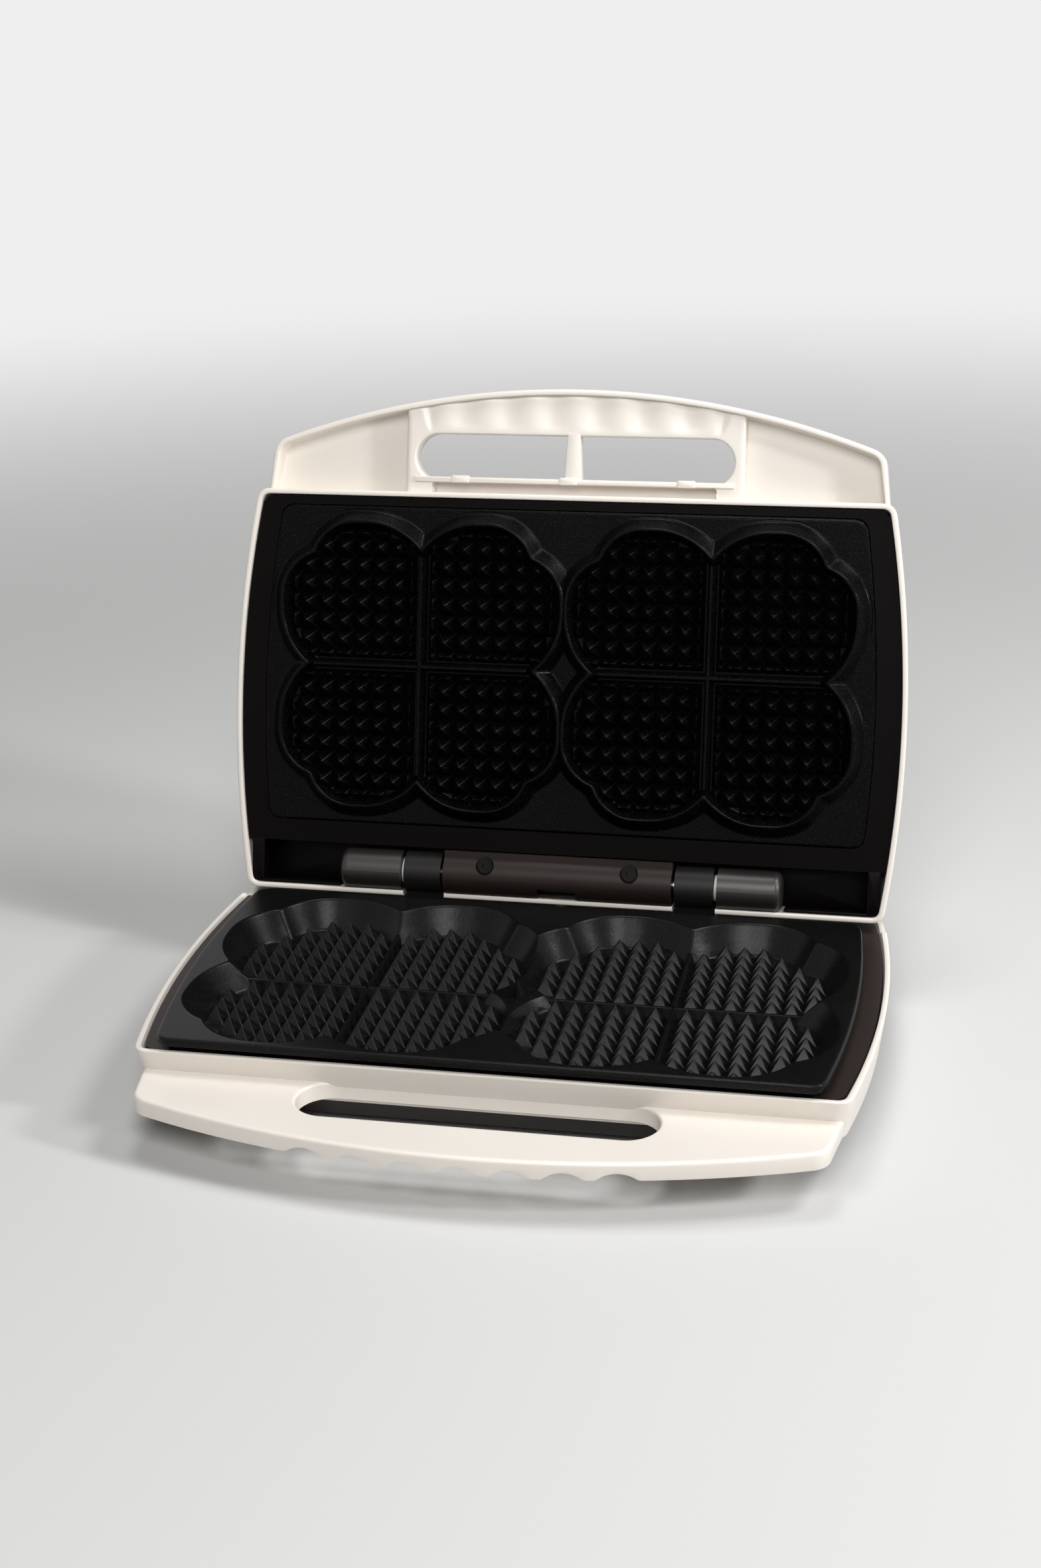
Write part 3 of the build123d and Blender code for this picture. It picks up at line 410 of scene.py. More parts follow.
def depthInside(x, y):
    # how far a point lies inside the rosette's outline
    long, short = np.maximum(np.abs(x), np.abs(y)), np.minimum(np.abs(x), np.abs(y))
    reach, near, far, cuspArc, notchArc = rosette["shape"]
    cusp = cuspArc - np.hypot(np.maximum(long - reach + cuspArc, 0), short - near)
    notch = notchArc - np.hypot(long - reach + notchArc, short - far)
    return np.where(short < near, cusp, np.where(short < far, reach - long, notch))


def sideArc(frontX, frontY, bulgeX, rearX, rearY, count):
    # circle through the front corner, the bulge at mid-length and the rear corner
    a, b, c = (complex(*p) for p in ((frontX, frontY), (bulgeX, (frontY + rearY) / 2), (rearX, rearY)))
    ratio = (c - a) / (b - a)
    centre = a + (b - a) * (abs(ratio) ** 2 - ratio) / (ratio.conjugate() - ratio)
    radius = abs(a - centre)
    start = math.atan2(a.imag - centre.imag, a.real - centre.real)
    end = math.atan2(c.imag - centre.imag, c.real - centre.real)
    angles = np.linspace(start, end, count)
    return np.stack([centre.real + radius * np.cos(angles), centre.imag + radius * np.sin(angles)], axis=-1)


def trim(line, startCut, endCut):
    # takes a length off each end of a run of points and spaces them as they were
    steps = np.hypot(*np.diff(line, axis=0).T)
    run = np.concatenate([[0], np.cumsum(steps)])
    wanted = startCut + (run[-1] - startCut - endCut) * run / run[-1]
    return np.stack([np.interp(wanted, run, line[:, axis]) for axis in (0, 1)], axis=-1)


def bend(start, corner, end, t):
    # quadratic curve that is drawn to the corner
    return (1 - t) ** 2 * start + 2 * t * (1 - t) * corner + t ** 2 * end


def roundCorner(before, corner, after, count):
    # the points between the end of one side and the start of the next
    return bend(before, np.asarray(corner), after, np.linspace(0, 1, count + 2)[1:-1, None])


def planLoop(frontY, rearY, frontX, rearX, bulgeX, corner, rearStops=None):
    # plan of a shell or plate: straight front and rear, bulging sides, round corners
    front = trim(np.stack([np.linspace(-frontX, frontX, 121), np.full(121, frontY)], axis=-1), corner, corner)
    right = trim(sideArc(frontX, frontY, bulgeX, rearX, rearY, 61), corner, corner)
    ends = rearX - corner
    stops = np.linspace(-120, 120, 81) if rearStops is None else rearStops
    rearLine = np.concatenate([[ends], stops[::-1], [-ends]])
    rear = np.stack([rearLine, np.full(len(rearLine), rearY)], axis=-1)
    left = right[::-1] * [-1, 1]
    corners = [(frontX, frontY), (rearX, rearY), (-rearX, rearY), (-frontX, frontY)]
    loop = []
    for side, place, following in zip([front, right, rear, left], corners, [right, rear, left, front]):
        loop += [side, roundCorner(side[-1], place, following[0], 9)]
    return np.concatenate(loop)


def loopNormals(loop):
    # outward direction at each point of a counter-clockwise loop
    run = np.roll(loop, -1, axis=0) - np.roll(loop, 1, axis=0)
    run /= np.hypot(*run.T)[:, None]
    return np.stack([run[:, 1], -run[:, 0]], axis=-1)


def halfPlate(plan, topRows, edgeRows, bottomRows, saddle=None):
    # right half of a cast plate on rays from the mould's centre: rosette rows out over the
    # mould, rows that follow the plate's edge, and rosette rows back under it
    frontY, rearY = plan[:2]
    centre = rosette["centre"]
    loop = planLoop(*plan)
    normals = loopNormals(loop)
    right = loop[:, 0] > -1e-6
    ends = [[0, frontY], [0, rearY]]
    edge = np.concatenate([loop[right], ends])
    out = np.concatenate([normals[right], [[0, -1], [0, 1]]])
    turn = np.arctan2(edge[:, 1], edge[:, 0] - centre) % (2 * math.pi)  # the ray that meets each point
    cornerTurns = turn[-2:]
    seamMiddle, circle = math.pi, 2 * math.pi
    order = np.argsort((turn - seamMiddle) % circle)
    turnSorted = (turn[order] - seamMiddle) % circle
    coarse, fine = np.arange(0, 360, 0.5), np.arange(-1.5, 1.6, 0.25)
    crests = (np.arange(0, 360, 45)[:, None] + fine[None, :]).reshape(-1) % 360
    angles = np.concatenate([np.radians(np.concatenate([coarse, crests])), cornerTurns])
    angles = np.unique(np.round(angles, 7))
    fromSeam = (angles - seamMiddle) % circle
    onSeam = (fromSeam < turnSorted[0] - 1e-6) | (fromSeam > turnSorted[-1] + 1e-6)
    goX, goY = np.cos(angles), np.sin(angles)
    base, push = (np.stack([np.interp(fromSeam, turnSorted, values[order][:, k]) for k in (0, 1)], axis=-1)
                  for values in (edge, out))
    seamRadius = np.where(goX < -0.05, centre / np.maximum(-goX, 0.05), 1e9)
    base[onSeam] = np.stack([np.zeros(onSeam.sum()), (seamRadius * goY)[onSeam]], axis=-1)
    push[onSeam] = 0

    def mouldRows(rows):
        made, lastRadius, lastHeight = [], np.zeros(len(angles)), np.full(len(angles), float(rows[0][1]))
        for inset, height in rows:
            radius = np.zeros(len(angles)) if inset is None else rosetteRadius(angles, inset)
            level = np.full(len(angles), float(height))
            beyond = radius > seamRadius
            part = (seamRadius - lastRadius) / np.maximum(radius - lastRadius, 1e-9)
            level = np.where(beyond, lastHeight + (level - lastHeight) * np.clip(part, 0, 1), level)
            radius = np.minimum(radius, seamRadius)
            lastRadius, lastHeight = radius, level
            made.append(np.stack([centre + radius * goX, radius * goY, level], axis=-1))
        return np.array(made)

    top = mouldRows(topRows)
    if saddle:
        inSaddle = (top[..., 0] < saddle["halfX"]) & (np.abs(top[..., 1]) < saddle["halfY"])
        top[..., 2] = np.where(inSaddle, np.minimum(top[..., 2], saddle["z"]), top[..., 2])
    rim = np.array([np.column_stack([base - push * inset, np.full(len(angles), z)]) for inset, z in edgeRows])
    inward = np.array([inset for inset, z in edgeRows])[:, None]
    rim[..., 1] = np.clip(rim[..., 1], frontY + inward, rearY - inward)
    bottom = mouldRows(bottomRows)[::-1]
    rows = np.concatenate([top, rim, bottom])
    rows[..., 0] = np.maximum(rows[..., 0], 0)
    points, faces = grid(rows, closeColumns=True)
    onWall = points[:, 0] < 1e-6
    return points, faces[~onWall[faces].all(axis=1)]


def bothHalves(half):
    # the half and its mirror image, joined along the middle
    points, faces = half
    mirrored = points * [-1, 1, 1]
    return np.concatenate([points, mirrored]), np.concatenate([faces, faces[:, ::-1] + len(points)])


def curveRows(inset0, z0, inset1, z1, bulgeInset, bulgeZ, count):
    # rows of (inset, z) along a curve
    t = np.linspace(0, 1, count)
    return list(zip(bend(inset0, bulgeInset, inset1, t), bend(z0, bulgeZ, z1, t)))


# Teeth
teeth = {"pitch": 8.5, "hip": 0.40, "support": 0.13, "sunk": 0.25, "tipRound": 0.32,
         "tipDrop": 0.16, "tipRise": 0.12}


def toothForm(halfX, halfY, slope):
    # closed pyramid or hipped roof: rounded rectangles drawn in as they rise at one slope
    least = min(halfX, halfY)
    rings = []
    for inset, drop in [(-teeth["sunk"] / slope, 0), (least - teeth["tipRound"], 0),
                        (least - teeth["tipRound"] * 0.45, teeth["tipDrop"])]:
        x, y = halfX - inset, halfY - inset
        hip = min(teeth["hip"], x * 0.98, y * 0.98)
        ring = []
        for start, signX, signY in quarters:
            arc = arcPoints(signX * (x - hip), signY * (y - hip), hip, start, start + 90, 3)
            lead = np.array([math.sin(math.radians(start)), -math.cos(math.radians(start))])
            tail = np.array([-math.cos(math.radians(start)), -math.sin(math.radians(start))])
            gap = min(teeth["support"], (min(x, y) - hip) * 0.5 + 1e-3)
            ring += [arc[:1] + lead * gap, arc, arc[-1:] + tail * gap]
        flat = np.concatenate(ring)
        rings.append(raised(flat, slope * inset - drop))
    rings = np.array(rings)
    tip = rings[-1].mean(axis=0) + [0, 0, teeth["tipRise"]]
    rings = np.concatenate([rings, np.broadcast_to(tip, rings[:1].shape)])
    foot = np.broadcast_to(rings[0].mean(axis=0), rings[:1].shape)
    return grid(np.concatenate([foot, rings]), closeColumns=True)


def toothField(columns, floor, slope, inside, upwards=1):
    # one form for each pair of row widths, copied to every place that lies inside the rosette
    parts = []
    for placeX, halfX in columns:
        for placeY, halfY in columns:
            if depthInside(placeX, placeY) < inside:
                continue
            points, faces = toothForm(halfX, halfY, slope)
            for side, signX, signY in itertools.product((-1, 1), repeat=3):
                centre = [side * rosette["centre"] + signX * placeX, signY * placeY, floor]
                parts.append((points * [1, 1, upwards] + centre, faces))
    return parts


def crossBars(floor, top, reach, upwards=1):
    # two crossed ridges in each mould: a rounded trapezoid carried along each axis,
    # given as half widths in millimetres and parts of its height
    flank = [(2.5, -0.2), (2.0, 0.08), (0.85, 0.93), (0.45, 1.0)]
    section = np.array([(-half, part) for half, part in flank] + flank[::-1])
    height = top - floor
    parts = []
    for side, along in itertools.product((-1, 1), (0, 1)):
        rings = np.zeros((2, len(section), 3))
        rings[:, :, along] = [[-reach], [reach]]
        rings[:, :, 1 - along] = section[:, 0]
        rings[:, :, 2] = (floor + section[:, 1] * height) * upwards
        rings[:, :, 0] += side * rosette["centre"]
        parts.append(tube(rings))
    return parts


basePlate = {
    "plan": (-74.5, 77.8, 135.3, 139.0, 143.2, 6.0), "floor": -12.2, "draft": 8.5, "toothHeight": 7.0,
    "barTop": -8.0, "flange": -3.6, "skirt": -8.6, "saddle": {"halfX": 13.0, "halfY": 30.5, "z": -6.5},
    "firstRow": 6.6, "rows": 7, "toothMargin": 2.5, "barReach": 53.5, "thickness": 4.4,
}


def makeBasePlate():
    # slab with two draughted moulds that run together in the middle
    size = basePlate
    floor, draft, flange, skirt = size["floor"], size["draft"], size["flange"], size["skirt"]
    lean = draft / -floor
    wallFoot = (draft - 1.2 * lean, floor + 1.2)
    wallLip = (0.9 * lean, -0.9)
    top = [(None, floor), (draft + 6, floor), (draft + 1.1, floor)]
    top += curveRows(draft + 1.0, floor, *wallFoot, draft, floor, 5)
    saddleZ = size["saddle"]["z"]
    top += [(-saddleZ * lean + 0.02, saddleZ - 0.01), (-saddleZ * lean - 0.3, saddleZ + 0.43)]
    top += curveRows(*wallLip, -0.8, 0.0, 0.0, 0.0, 6)
    top += [(-1.2, 0.0)]
    edge = [(2.0, 0.0)] + curveRows(1.0, 0.0, 0.0, -1.0, 0.0, 0.0, 5)
    edge += curveRows(0.0, flange + 0.6, 0.6, flange, 0.0, flange, 4)
    edge += [(4.0, flange), (4.0, skirt + 0.4), (4.4, skirt)]
    under = floor - size["thickness"]
    bottom = [(None, under), (7.0, under), (6.2, under + 0.2), (2.6, skirt)]
    half = halfPlate(size["plan"], top, edge, bottom, size["saddle"])
    parts = [bothHalves(half)]
    slope = size["toothHeight"] / (teeth["pitch"] / 2)
    rows = [(size["firstRow"] + teeth["pitch"] * k, teeth["pitch"] / 2) for k in range(size["rows"])]
    bars = crossBars(floor, size["barTop"], size["barReach"])
    makePiece("base_plate_casting", parts + bars, "nonstick_base", "base", ("base_plate",))
    field = toothField(rows, floor, slope, draft + size["toothMargin"])
    makePiece("base_plate_teeth", field, "nonstick_base", "base")


lidPlate = {
    "plan": (-72.5, 73.5, 133.5, 138.0, 140.5, 6.0), "face": 0.4, "rise": 5.6, "foot": 0.7, "lip": 5.0,
    "pocketLip": 6.2, "pocketFoot": 8.7, "pocketFloor": -0.8, "tip": 6.15, "back": 7.0,
    "firstRow": 11.3, "rows": 6, "innerStrip": 4.925, "outerStrip": 60.175, "barReach": 50.0,
}


def makeLidPlate():
    # heights count towards the base: a raised rosette with a thin lip round a toothed pocket
    size = lidPlate
    face, rise = -size["face"], size["rise"] - size["face"]
    floor, back = size["pocketFloor"] + face, face - size["back"]
    inner, brim, lip, foot = size["pocketFoot"], size["pocketLip"], size["lip"], size["foot"]
    top = [(None, floor), (inner + 4, floor)]
    top += curveRows(inner + 0.7, floor, inner - 0.15, floor + 0.7, inner, floor, 4)
    top += curveRows(brim + 0.15, rise - 0.5, brim - 0.5, rise, brim, rise, 4)
    top += curveRows(lip + 0.5, rise, lip - 0.3, rise - 0.5, lip, rise, 4)
    top += curveRows(foot + 0.5, face + 0.65, foot - 0.7, face, foot, face, 5)
    top += [(foot - 1.2, face)]
    edge = [(2.0, face)] + curveRows(0.9, face, 0.0, face - 0.9, 0.0, face, 5)
    edge += [(0.0, back + 0.4), (0.4, back)]
    bottom = [(inset, back) for inset in (None, 9.0, 2.0)]
    points, faces = bothHalves(halfPlate(size["plan"], top, edge, bottom))
    parts = [(points * [1, 1, -1], faces)] + crossBars(floor, rise - 0.2, size["barReach"], -1)
    makePiece("lid_plate_casting", parts, "nonstick_lid", "lid", ("lid_plate",))
    half = teeth["pitch"] / 2
    slope = (size["tip"] - size["pocketFloor"]) / half
    rows = [(size["innerStrip"], half / 2)]
    rows += [(size["firstRow"] + teeth["pitch"] * k, half) for k in range(size["rows"])]
    rows += [(size["outerStrip"], half / 2)]
    field = toothField(rows, -floor, slope, inner - 0.5, -1)
    makePiece("lid_plate_teeth", field, "nonstick_lid", "lid")


makeBasePlate()
makeLidPlate()
print("plates made")

# Cream shells
shell = {
    "wall": 2.4, "rim": -6.3, "foot": -25.5, "rearRim": -9.1, "rearFrom": 84.9, "roof": 33.0,
    "knuckles": (53.4, 72.8), "windowTop": 14.5, "clip": 114.5, "clipHalf": 8.5, "clipDeep": 1.6,
    "gland": (-33.0, -19.5), "glandHalf": 4.4, "deck": (-13.3, -10.9), "deckFrom": 85.4, "deckHalf": 143.5,
    "pocket": 9.7, "pocketFrom": 73.2, "pocketTo": 103.0, "tower": (66.0, 20.0, 4.2), "towerZ": (20.2, 31.0),
    "roofMiddle": 13.0, "rearFace": 95,  # behind this y lie the rear walls
}


def baseOutline(z, inset):
    down = (shell["rim"] - z) / (shell["rim"] - shell["foot"])
    side = 2.6 * down + inset
    return (-74.5 + 4.7 * down + inset, 104.0 - 1.5 * down - inset, 145.6 - side, 147.5 - side,
            154.8 - side, 5.8 - min(inset, 3.0))


def lidOutline(z, inset):
    up = z / shell["roof"]
    draw = 2.0 * up + 20.0 * up ** 5 + inset
    return (-79.7 + draw, 107.0 - 0.6 * draw - 0.4 * inset, 145.8 - draw, 148.3 - draw, 155.0 - draw,
            5.8 - min(inset, 3.0) + 11.0 * up ** 3)


def shellRings(outlineAt, rows, rearStops):
    # one ring of points for each row of (inset, height)
    rings = []
    for inset, z in rows:
        loop = planLoop(*outlineAt(z, inset), rearStops)
        rings.append(raised(loop, z))
    return np.array(rings)


def makeBaseBody():
    # wall round the base with a soft rim, a lower rim at the rear and a hole for the cord bushing
    wall, rim, foot = shell["wall"], shell["rim"], shell["foot"]
    holeX, holeZ = shell["gland"]
    half = shell["glandHalf"]
    outer = curveRows(1.1, rim, 0.0, rim - 1.1, 0.0, rim, 6)
    levels = [-12.0, holeZ + half, holeZ - half, foot + 0.5]
    outer += [(0.0, z) for z in levels]
    inner = [(wall, z) for z in levels[::-1]]
    inner += [(wall, rim - 0.5), (wall - 0.15, rim - 0.15), (wall - 0.5, rim)]
    rows = outer + [(0.5, foot), (wall - 0.5, foot)] + inner
    stops = np.unique(np.concatenate([np.linspace(-120, 120, 61), [holeX - half, holeX + half]]))
    stops = stops[(stops <= holeX - half) | (stops >= holeX + half)]
    rings = shellRings(baseOutline, rows, stops)
    lowered = (rings[..., 1] > shell["rearFrom"]) & (rings[..., 2] > -9.0)
    rings[..., 2] -= np.where(lowered, rim - shell["rearRim"], 0)
    points, faces = grid(rings, True, True)
    middle = points[faces].mean(axis=1)
    atHole = (abs(middle[:, 0] - holeX) < half) & (abs(middle[:, 2] - holeZ) < half)
    atHole &= middle[:, 1] > shell["rearFace"]
    # walls of the hole, from the outer face to the inner one
    columns = rings.shape[1]
    start = np.argmin(np.abs(rings[0, :, 0] - holeX - half) + 1000 * (rings[0, :, 1] < shell["rearFace"]))
    outTop, outLow = len(outer) - 3, len(outer) - 2
    inLow, inTop = len(outer) + 3, len(outer) + 4
    corners = [(outTop, start), (outTop, start + 1), (outLow, start + 1), (outLow, start)]
    backs = [(inTop, start), (inTop, start + 1), (inLow, start + 1), (inLow, start)]
    sides = []
    for k in range(4):
        following = (k + 1) % 4
        loop = [corners[k], corners[following], backs[following], backs[k]]
        sides.append([row * columns + column for row, column in loop])
    body = [(points, np.concatenate([faces[~atHole], np.array(sides)]))]
    # deck at the rear in strips round the knuckles, and the wall that closes it in front
    wide, near, deck = shell["deckHalf"], shell["deckFrom"], shell["deck"]
    for x0, x1 in ((-wide, -72.4), (-53.8, 53.8), (72.4, wide)):
        body.append(box(x0, x1, near, 102.6, *deck))
    for x0, x1 in ((-72.6, -53.6), (53.6, 72.6)):
        body.append(box(x0, x1, near, 89.8, *deck, 0.2))
    body.append(box(-wide, wide, near - 0.8, near + 1.5, -25.3, -11.2))
    makePiece("base_body", body, "cream_plastic", "base", ("base_shell",))


def makeLidBody():
    # crowned lid: rim, side, rounded shoulder and roof, then the same inside a wall further in
    wall, roof = shell["wall"], shell["roof"]
    levels = [3.0, 6.0, 9.0, 12.0, 14.4, 14.6, 18.0, 21.0, 23.5, 25.5, 27.0, 28.3, 29.4, 30.3, 31.1, 31.8, 32.4]
    outer = curveRows(1.2, 0.0, 0.0, 1.1, 0.0, 0.0, 6) + [(0.0, z) for z in levels] + [(0.0, roof)]
    low = [z for z in [0.5, 1.1, 1.3, 4.1, 4.3] + levels[1:] if z < roof - wall]
    inner = [(wall, roof - wall)] + [(wall, z) for z in low[::-1]] + [(wall - 0.15, 0.15), (wall - 0.5, 0.0)]
    near, far = shell["knuckles"]
    edges = np.array([near - 0.1, near, far, far + 0.1])
    stops = np.unique(np.concatenate([np.linspace(-104, 104, 53), edges, -edges]))
    top, under = shellRings(lidOutline, outer, stops), shellRings(lidOutline, inner, stops)
    x, y, z = under[..., 0], under[..., 1], under[..., 2]
    pocket = shell["pocket"]
    reach = np.sqrt(np.maximum(pocket ** 2 - (z - hinge["z"]) ** 2, 0))
    beside = (np.abs(x) > shell["pocketFrom"]) & (np.abs(x) < shell["pocketTo"])
    beside &= (y > shell["rearFace"]) & (np.abs(z - hinge["z"]) < pocket)
    under[..., 1] = np.where(beside, np.maximum(y, hinge["y"] + reach), y)
    atClip = (np.abs(np.abs(x) - shell["clip"]) < shell["clipHalf"]) & (y < 0) & (z > 1.2) & (z < 4.2)
    under[..., 1] -= np.where(atClip, shell["clipDeep"], 0)
    # the roof's last ring is drawn in to its middle, outside and inside
    caps = []
    for last, parts in ((top[-1], (0.65, 0.3, 0.0)), (under[0], (0.0, 0.3, 0.65))):
        centre = np.array([0, shell["roofMiddle"], last[0, 2]])
        caps += [centre + (last - centre) * part for part in parts]
    rings = np.concatenate([top, caps, under])
    x, y, z = rings[..., 0], rings[..., 1], rings[..., 2]
    inWindow = (np.abs(x) > near - 0.01) & (np.abs(x) < far + 0.01) & (y > shell["rearFace"])
    rings[..., 2] = np.where(inWindow, np.maximum(z, shell["windowTop"]), z)
    body = [grid(rings, True, True)]
    towerX, towerY, radius = shell["tower"]
    for x in (-towerX, towerX):
        for y in (-towerY, towerY):
            body.append(tower((x, y), radius, *shell["towerZ"]))
    makePiece("lid_body", body, "cream_plastic", "lid", ("lid_shell",))


# Grips
def turnRows(side, *curve):
    # profile rows of one side along a rounded corner
    return [(side, inward, z) for inward, z in curveRows(*curve)]


def gripLoop(size, inset):
    # plan of a grip drawn in by an inset: slanted sides, bowed front, straight root line
    cornerX, cornerY = size["cornerX"] - inset, size["cornerY"] + 0.6 * inset
    apexY, rootX = size["apexY"] + 0.97 * inset, size["rootX"] - 0.75 * inset
    rootY, corner = size["root"] - 0.3 * inset, max(6.0 - 0.8 * inset, 2.0)
    side = np.stack([np.linspace(rootX, cornerX, 15), np.linspace(rootY, cornerY, 15)], axis=-1)
    rise = cornerY - apexY
    radius = (cornerX ** 2 + rise ** 2) / (2 * rise)
    spread = math.degrees(math.asin(cornerX / radius))
    front = arcPoints(0, apexY + radius, radius, 270 - spread, 270 + spread, 241)
    side, front = trim(side, 0, corner), trim(front, corner, corner)
    right = roundCorner(front[-1], (cornerX, cornerY), side[-1], 11)
    left = right[::-1] * [-1, 1]
    line = np.linspace(rootX, -rootX, 122)[1:-1]
    root = np.stack([line, np.full(120, float(rootY))], axis=-1)
    return np.concatenate([side * [-1, 1], left, front, right, side[::-1], root])


def slotEdge(path, size):
    # a round-ended slot's edge, each point opposite the path's point, and the way out of the slot
    reach = size["slotHalf"] - size["slotHalfY"]
    centre = np.stack([np.clip(path[:, 0], -reach, reach), np.full(len(path), size["slotMiddle"])], axis=-1)
    away = path - centre
    away /= np.hypot(*away.T)[:, None]
    return centre + away * size["slotHalfY"], away


def bandGrid(loopAt, size, profile, firm=9.0):
    # closed band between an outer edge and a slot: rows of ("edge" or "slot", distance into the
    # material, height). No distance goes past the middle; beyond the firm depth it runs straight
    edge = loopAt(size, 0.0)
    slot, slotOut = slotEdge(edge, size)
    across = edge - slot
    gap = np.hypot(*across.T)[:, None]
    across = across / gap
    rings = []
    for side, inward, z in profile:
        within = np.minimum(inward, 0.46 * gap)
        if side == "slot":
            flat = slot + slotOut * within
        else:
            flat = loopAt(size, min(inward, firm)) - across * np.maximum(within - firm, 0)
            flat = np.where(within < min(inward, firm), edge - across * within, flat)
        height = z if isinstance(z, np.ndarray) else np.full(len(flat), float(z))
        rings.append(np.column_stack([flat, height]))
    return grid(np.array(rings), True, True)


baseGrip = {"top": -15.8, "foot": -23.4, "skin": 2.6, "wall": 2.7, "collar": 2.4, "pitch": 20.5,
            "notch": 3.0, "notchR": 12.2, "notches": 7, "slotHalf": 73.4, "slotMiddle": -85.1, "slotHalfY": 13.4,
            "cornerX": 139.1, "cornerY": -95.9, "apexY": -122.0, "rootX": 143.0, "root": -69.95}


def makeBaseGrip():
    # band between the bowed front and the slot, hollow below, with finger notches
    size = baseGrip
    top, foot = size["top"], size["foot"]
    edge = gripLoop(size, 0.0)
    offCentre = (edge[:, 0] + size["pitch"] / 2) % size["pitch"] - size["pitch"] / 2
    inField = (np.abs(edge[:, 0]) < size["notches"] / 2 * size["pitch"]) & (edge[:, 1] < size["slotMiddle"])
    arch = np.sqrt(np.maximum(size["notchR"] ** 2 - offCentre ** 2, 0)) - size["notchR"] + size["notch"]
    low = foot + np.where(inField, np.maximum(arch, 0), 0)
    wall, collar, under = size["wall"], size["collar"], top - size["skin"]
    profile = turnRows("slot", 0.0, top - 1.3, 1.3, top, 0.0, top, 6)
    profile += [("slot", 2.0, top), ("edge", 3.2, top)]
    profile += turnRows("edge", 1.9, top, 0.0, top - 1.9, 0.0, top, 8)
    profile += [("edge", 0.0, top - 2.9), ("edge", 0.0, low + 0.7), ("edge", 0.2, low + 0.2), ("edge", 0.7, low)]
    profile += [("edge", wall - 0.4, low), ("edge", wall, low + 0.4), ("edge", wall, under - 0.6)]
    profile += [("edge", wall + 0.6, under), ("slot", collar + 0.6, under), ("slot", collar, under - 0.6)]
    profile += [("slot", collar, foot + 0.4), ("slot", collar - 0.4, foot), ("slot", 0.4, foot)]
    profile += [("slot", 0.0, foot + 0.4)]
    makePiece("base_grip", [bandGrid(gripLoop, size, profile)], "cream_plastic", "base")


lidGrip = {"edge": 7.4, "skin": 17.0, "top": 19.6, "face": 9.4, "wall": 2.9, "slotHalf": 73.4,
           "slotMiddle": -95.8, "slotHalfY": 10.6, "boxX": 77.7, "boxRear": -79.0, "flutePitch": 20.5,
           "recess": 15.0, "recessHalf": 66.0, "bow": 495.0, "boxFront": -125.6, "fluteDepth": 0.9, "fluteTo": 73.0,
           "rib": ((2.9, -107.2), (4.0, -84.6)), "tabs": (-52, -2, 52),
           "cornerX": 140.3, "cornerY": -101.3, "apexY": -127.3, "rootX": 143.2, "root": -75.5}


def makeLidGrip():
    # tray with a wall round it, cut through by the finger slot
    size = lidGrip
    low, skin, top, wall = size["edge"], size["skin"], size["top"], size["wall"]
    profile = [("slot", 0.3, skin), ("slot", 1.0, skin), ("edge", wall + 1.6, skin)]
    profile += turnRows("edge", wall + 1.0, skin, wall, skin - 1.2, wall, skin, 5)
    profile += [("edge", wall - 0.1, low + 0.9)]
    profile += turnRows("edge", wall - 0.3, low + 0.35, wall - 0.9, low, wall - 0.4, low, 3)
    profile += turnRows("edge", 1.3, low, 0.0, low + 1.2, 0.0, low, 6)
    profile += [("edge", 0.0, low + 2.0), ("edge", 0.0, top - 3.0)]
    profile += turnRows("edge", 0.0, top - 2.4, 2.4, top, 0.0, top, 8)
    profile += [("edge", 3.2, top), ("slot", 1.6, top), ("slot", 0.8, top), ("slot", 0.3, top - 0.1)]
    makePiece("lid_grip", [bandGrid(gripLoop, size, profile)], "cream_plastic", "lid")


def gripBoxLoop(size, inset):
    # plan of the raised box round the lid's slot
    halfX, bow = size["boxX"] - inset, size["bow"]
    spread = math.degrees(math.asin(halfX / bow))
    front = arcPoints(0, size["boxFront"] + inset + bow, bow, 270 - spread, 270 + spread, 141)
    right = np.stack([np.full(30, halfX), np.linspace(front[-1, 1], size["boxRear"], 32)[1:-1]], axis=-1)
    rear = np.stack([np.linspace(halfX, -halfX, 141), np.full(141, size["boxRear"] - 0.3 * inset)], axis=-1)
    return np.concatenate([front, right, rear, right[::-1] * [-1, 1]])


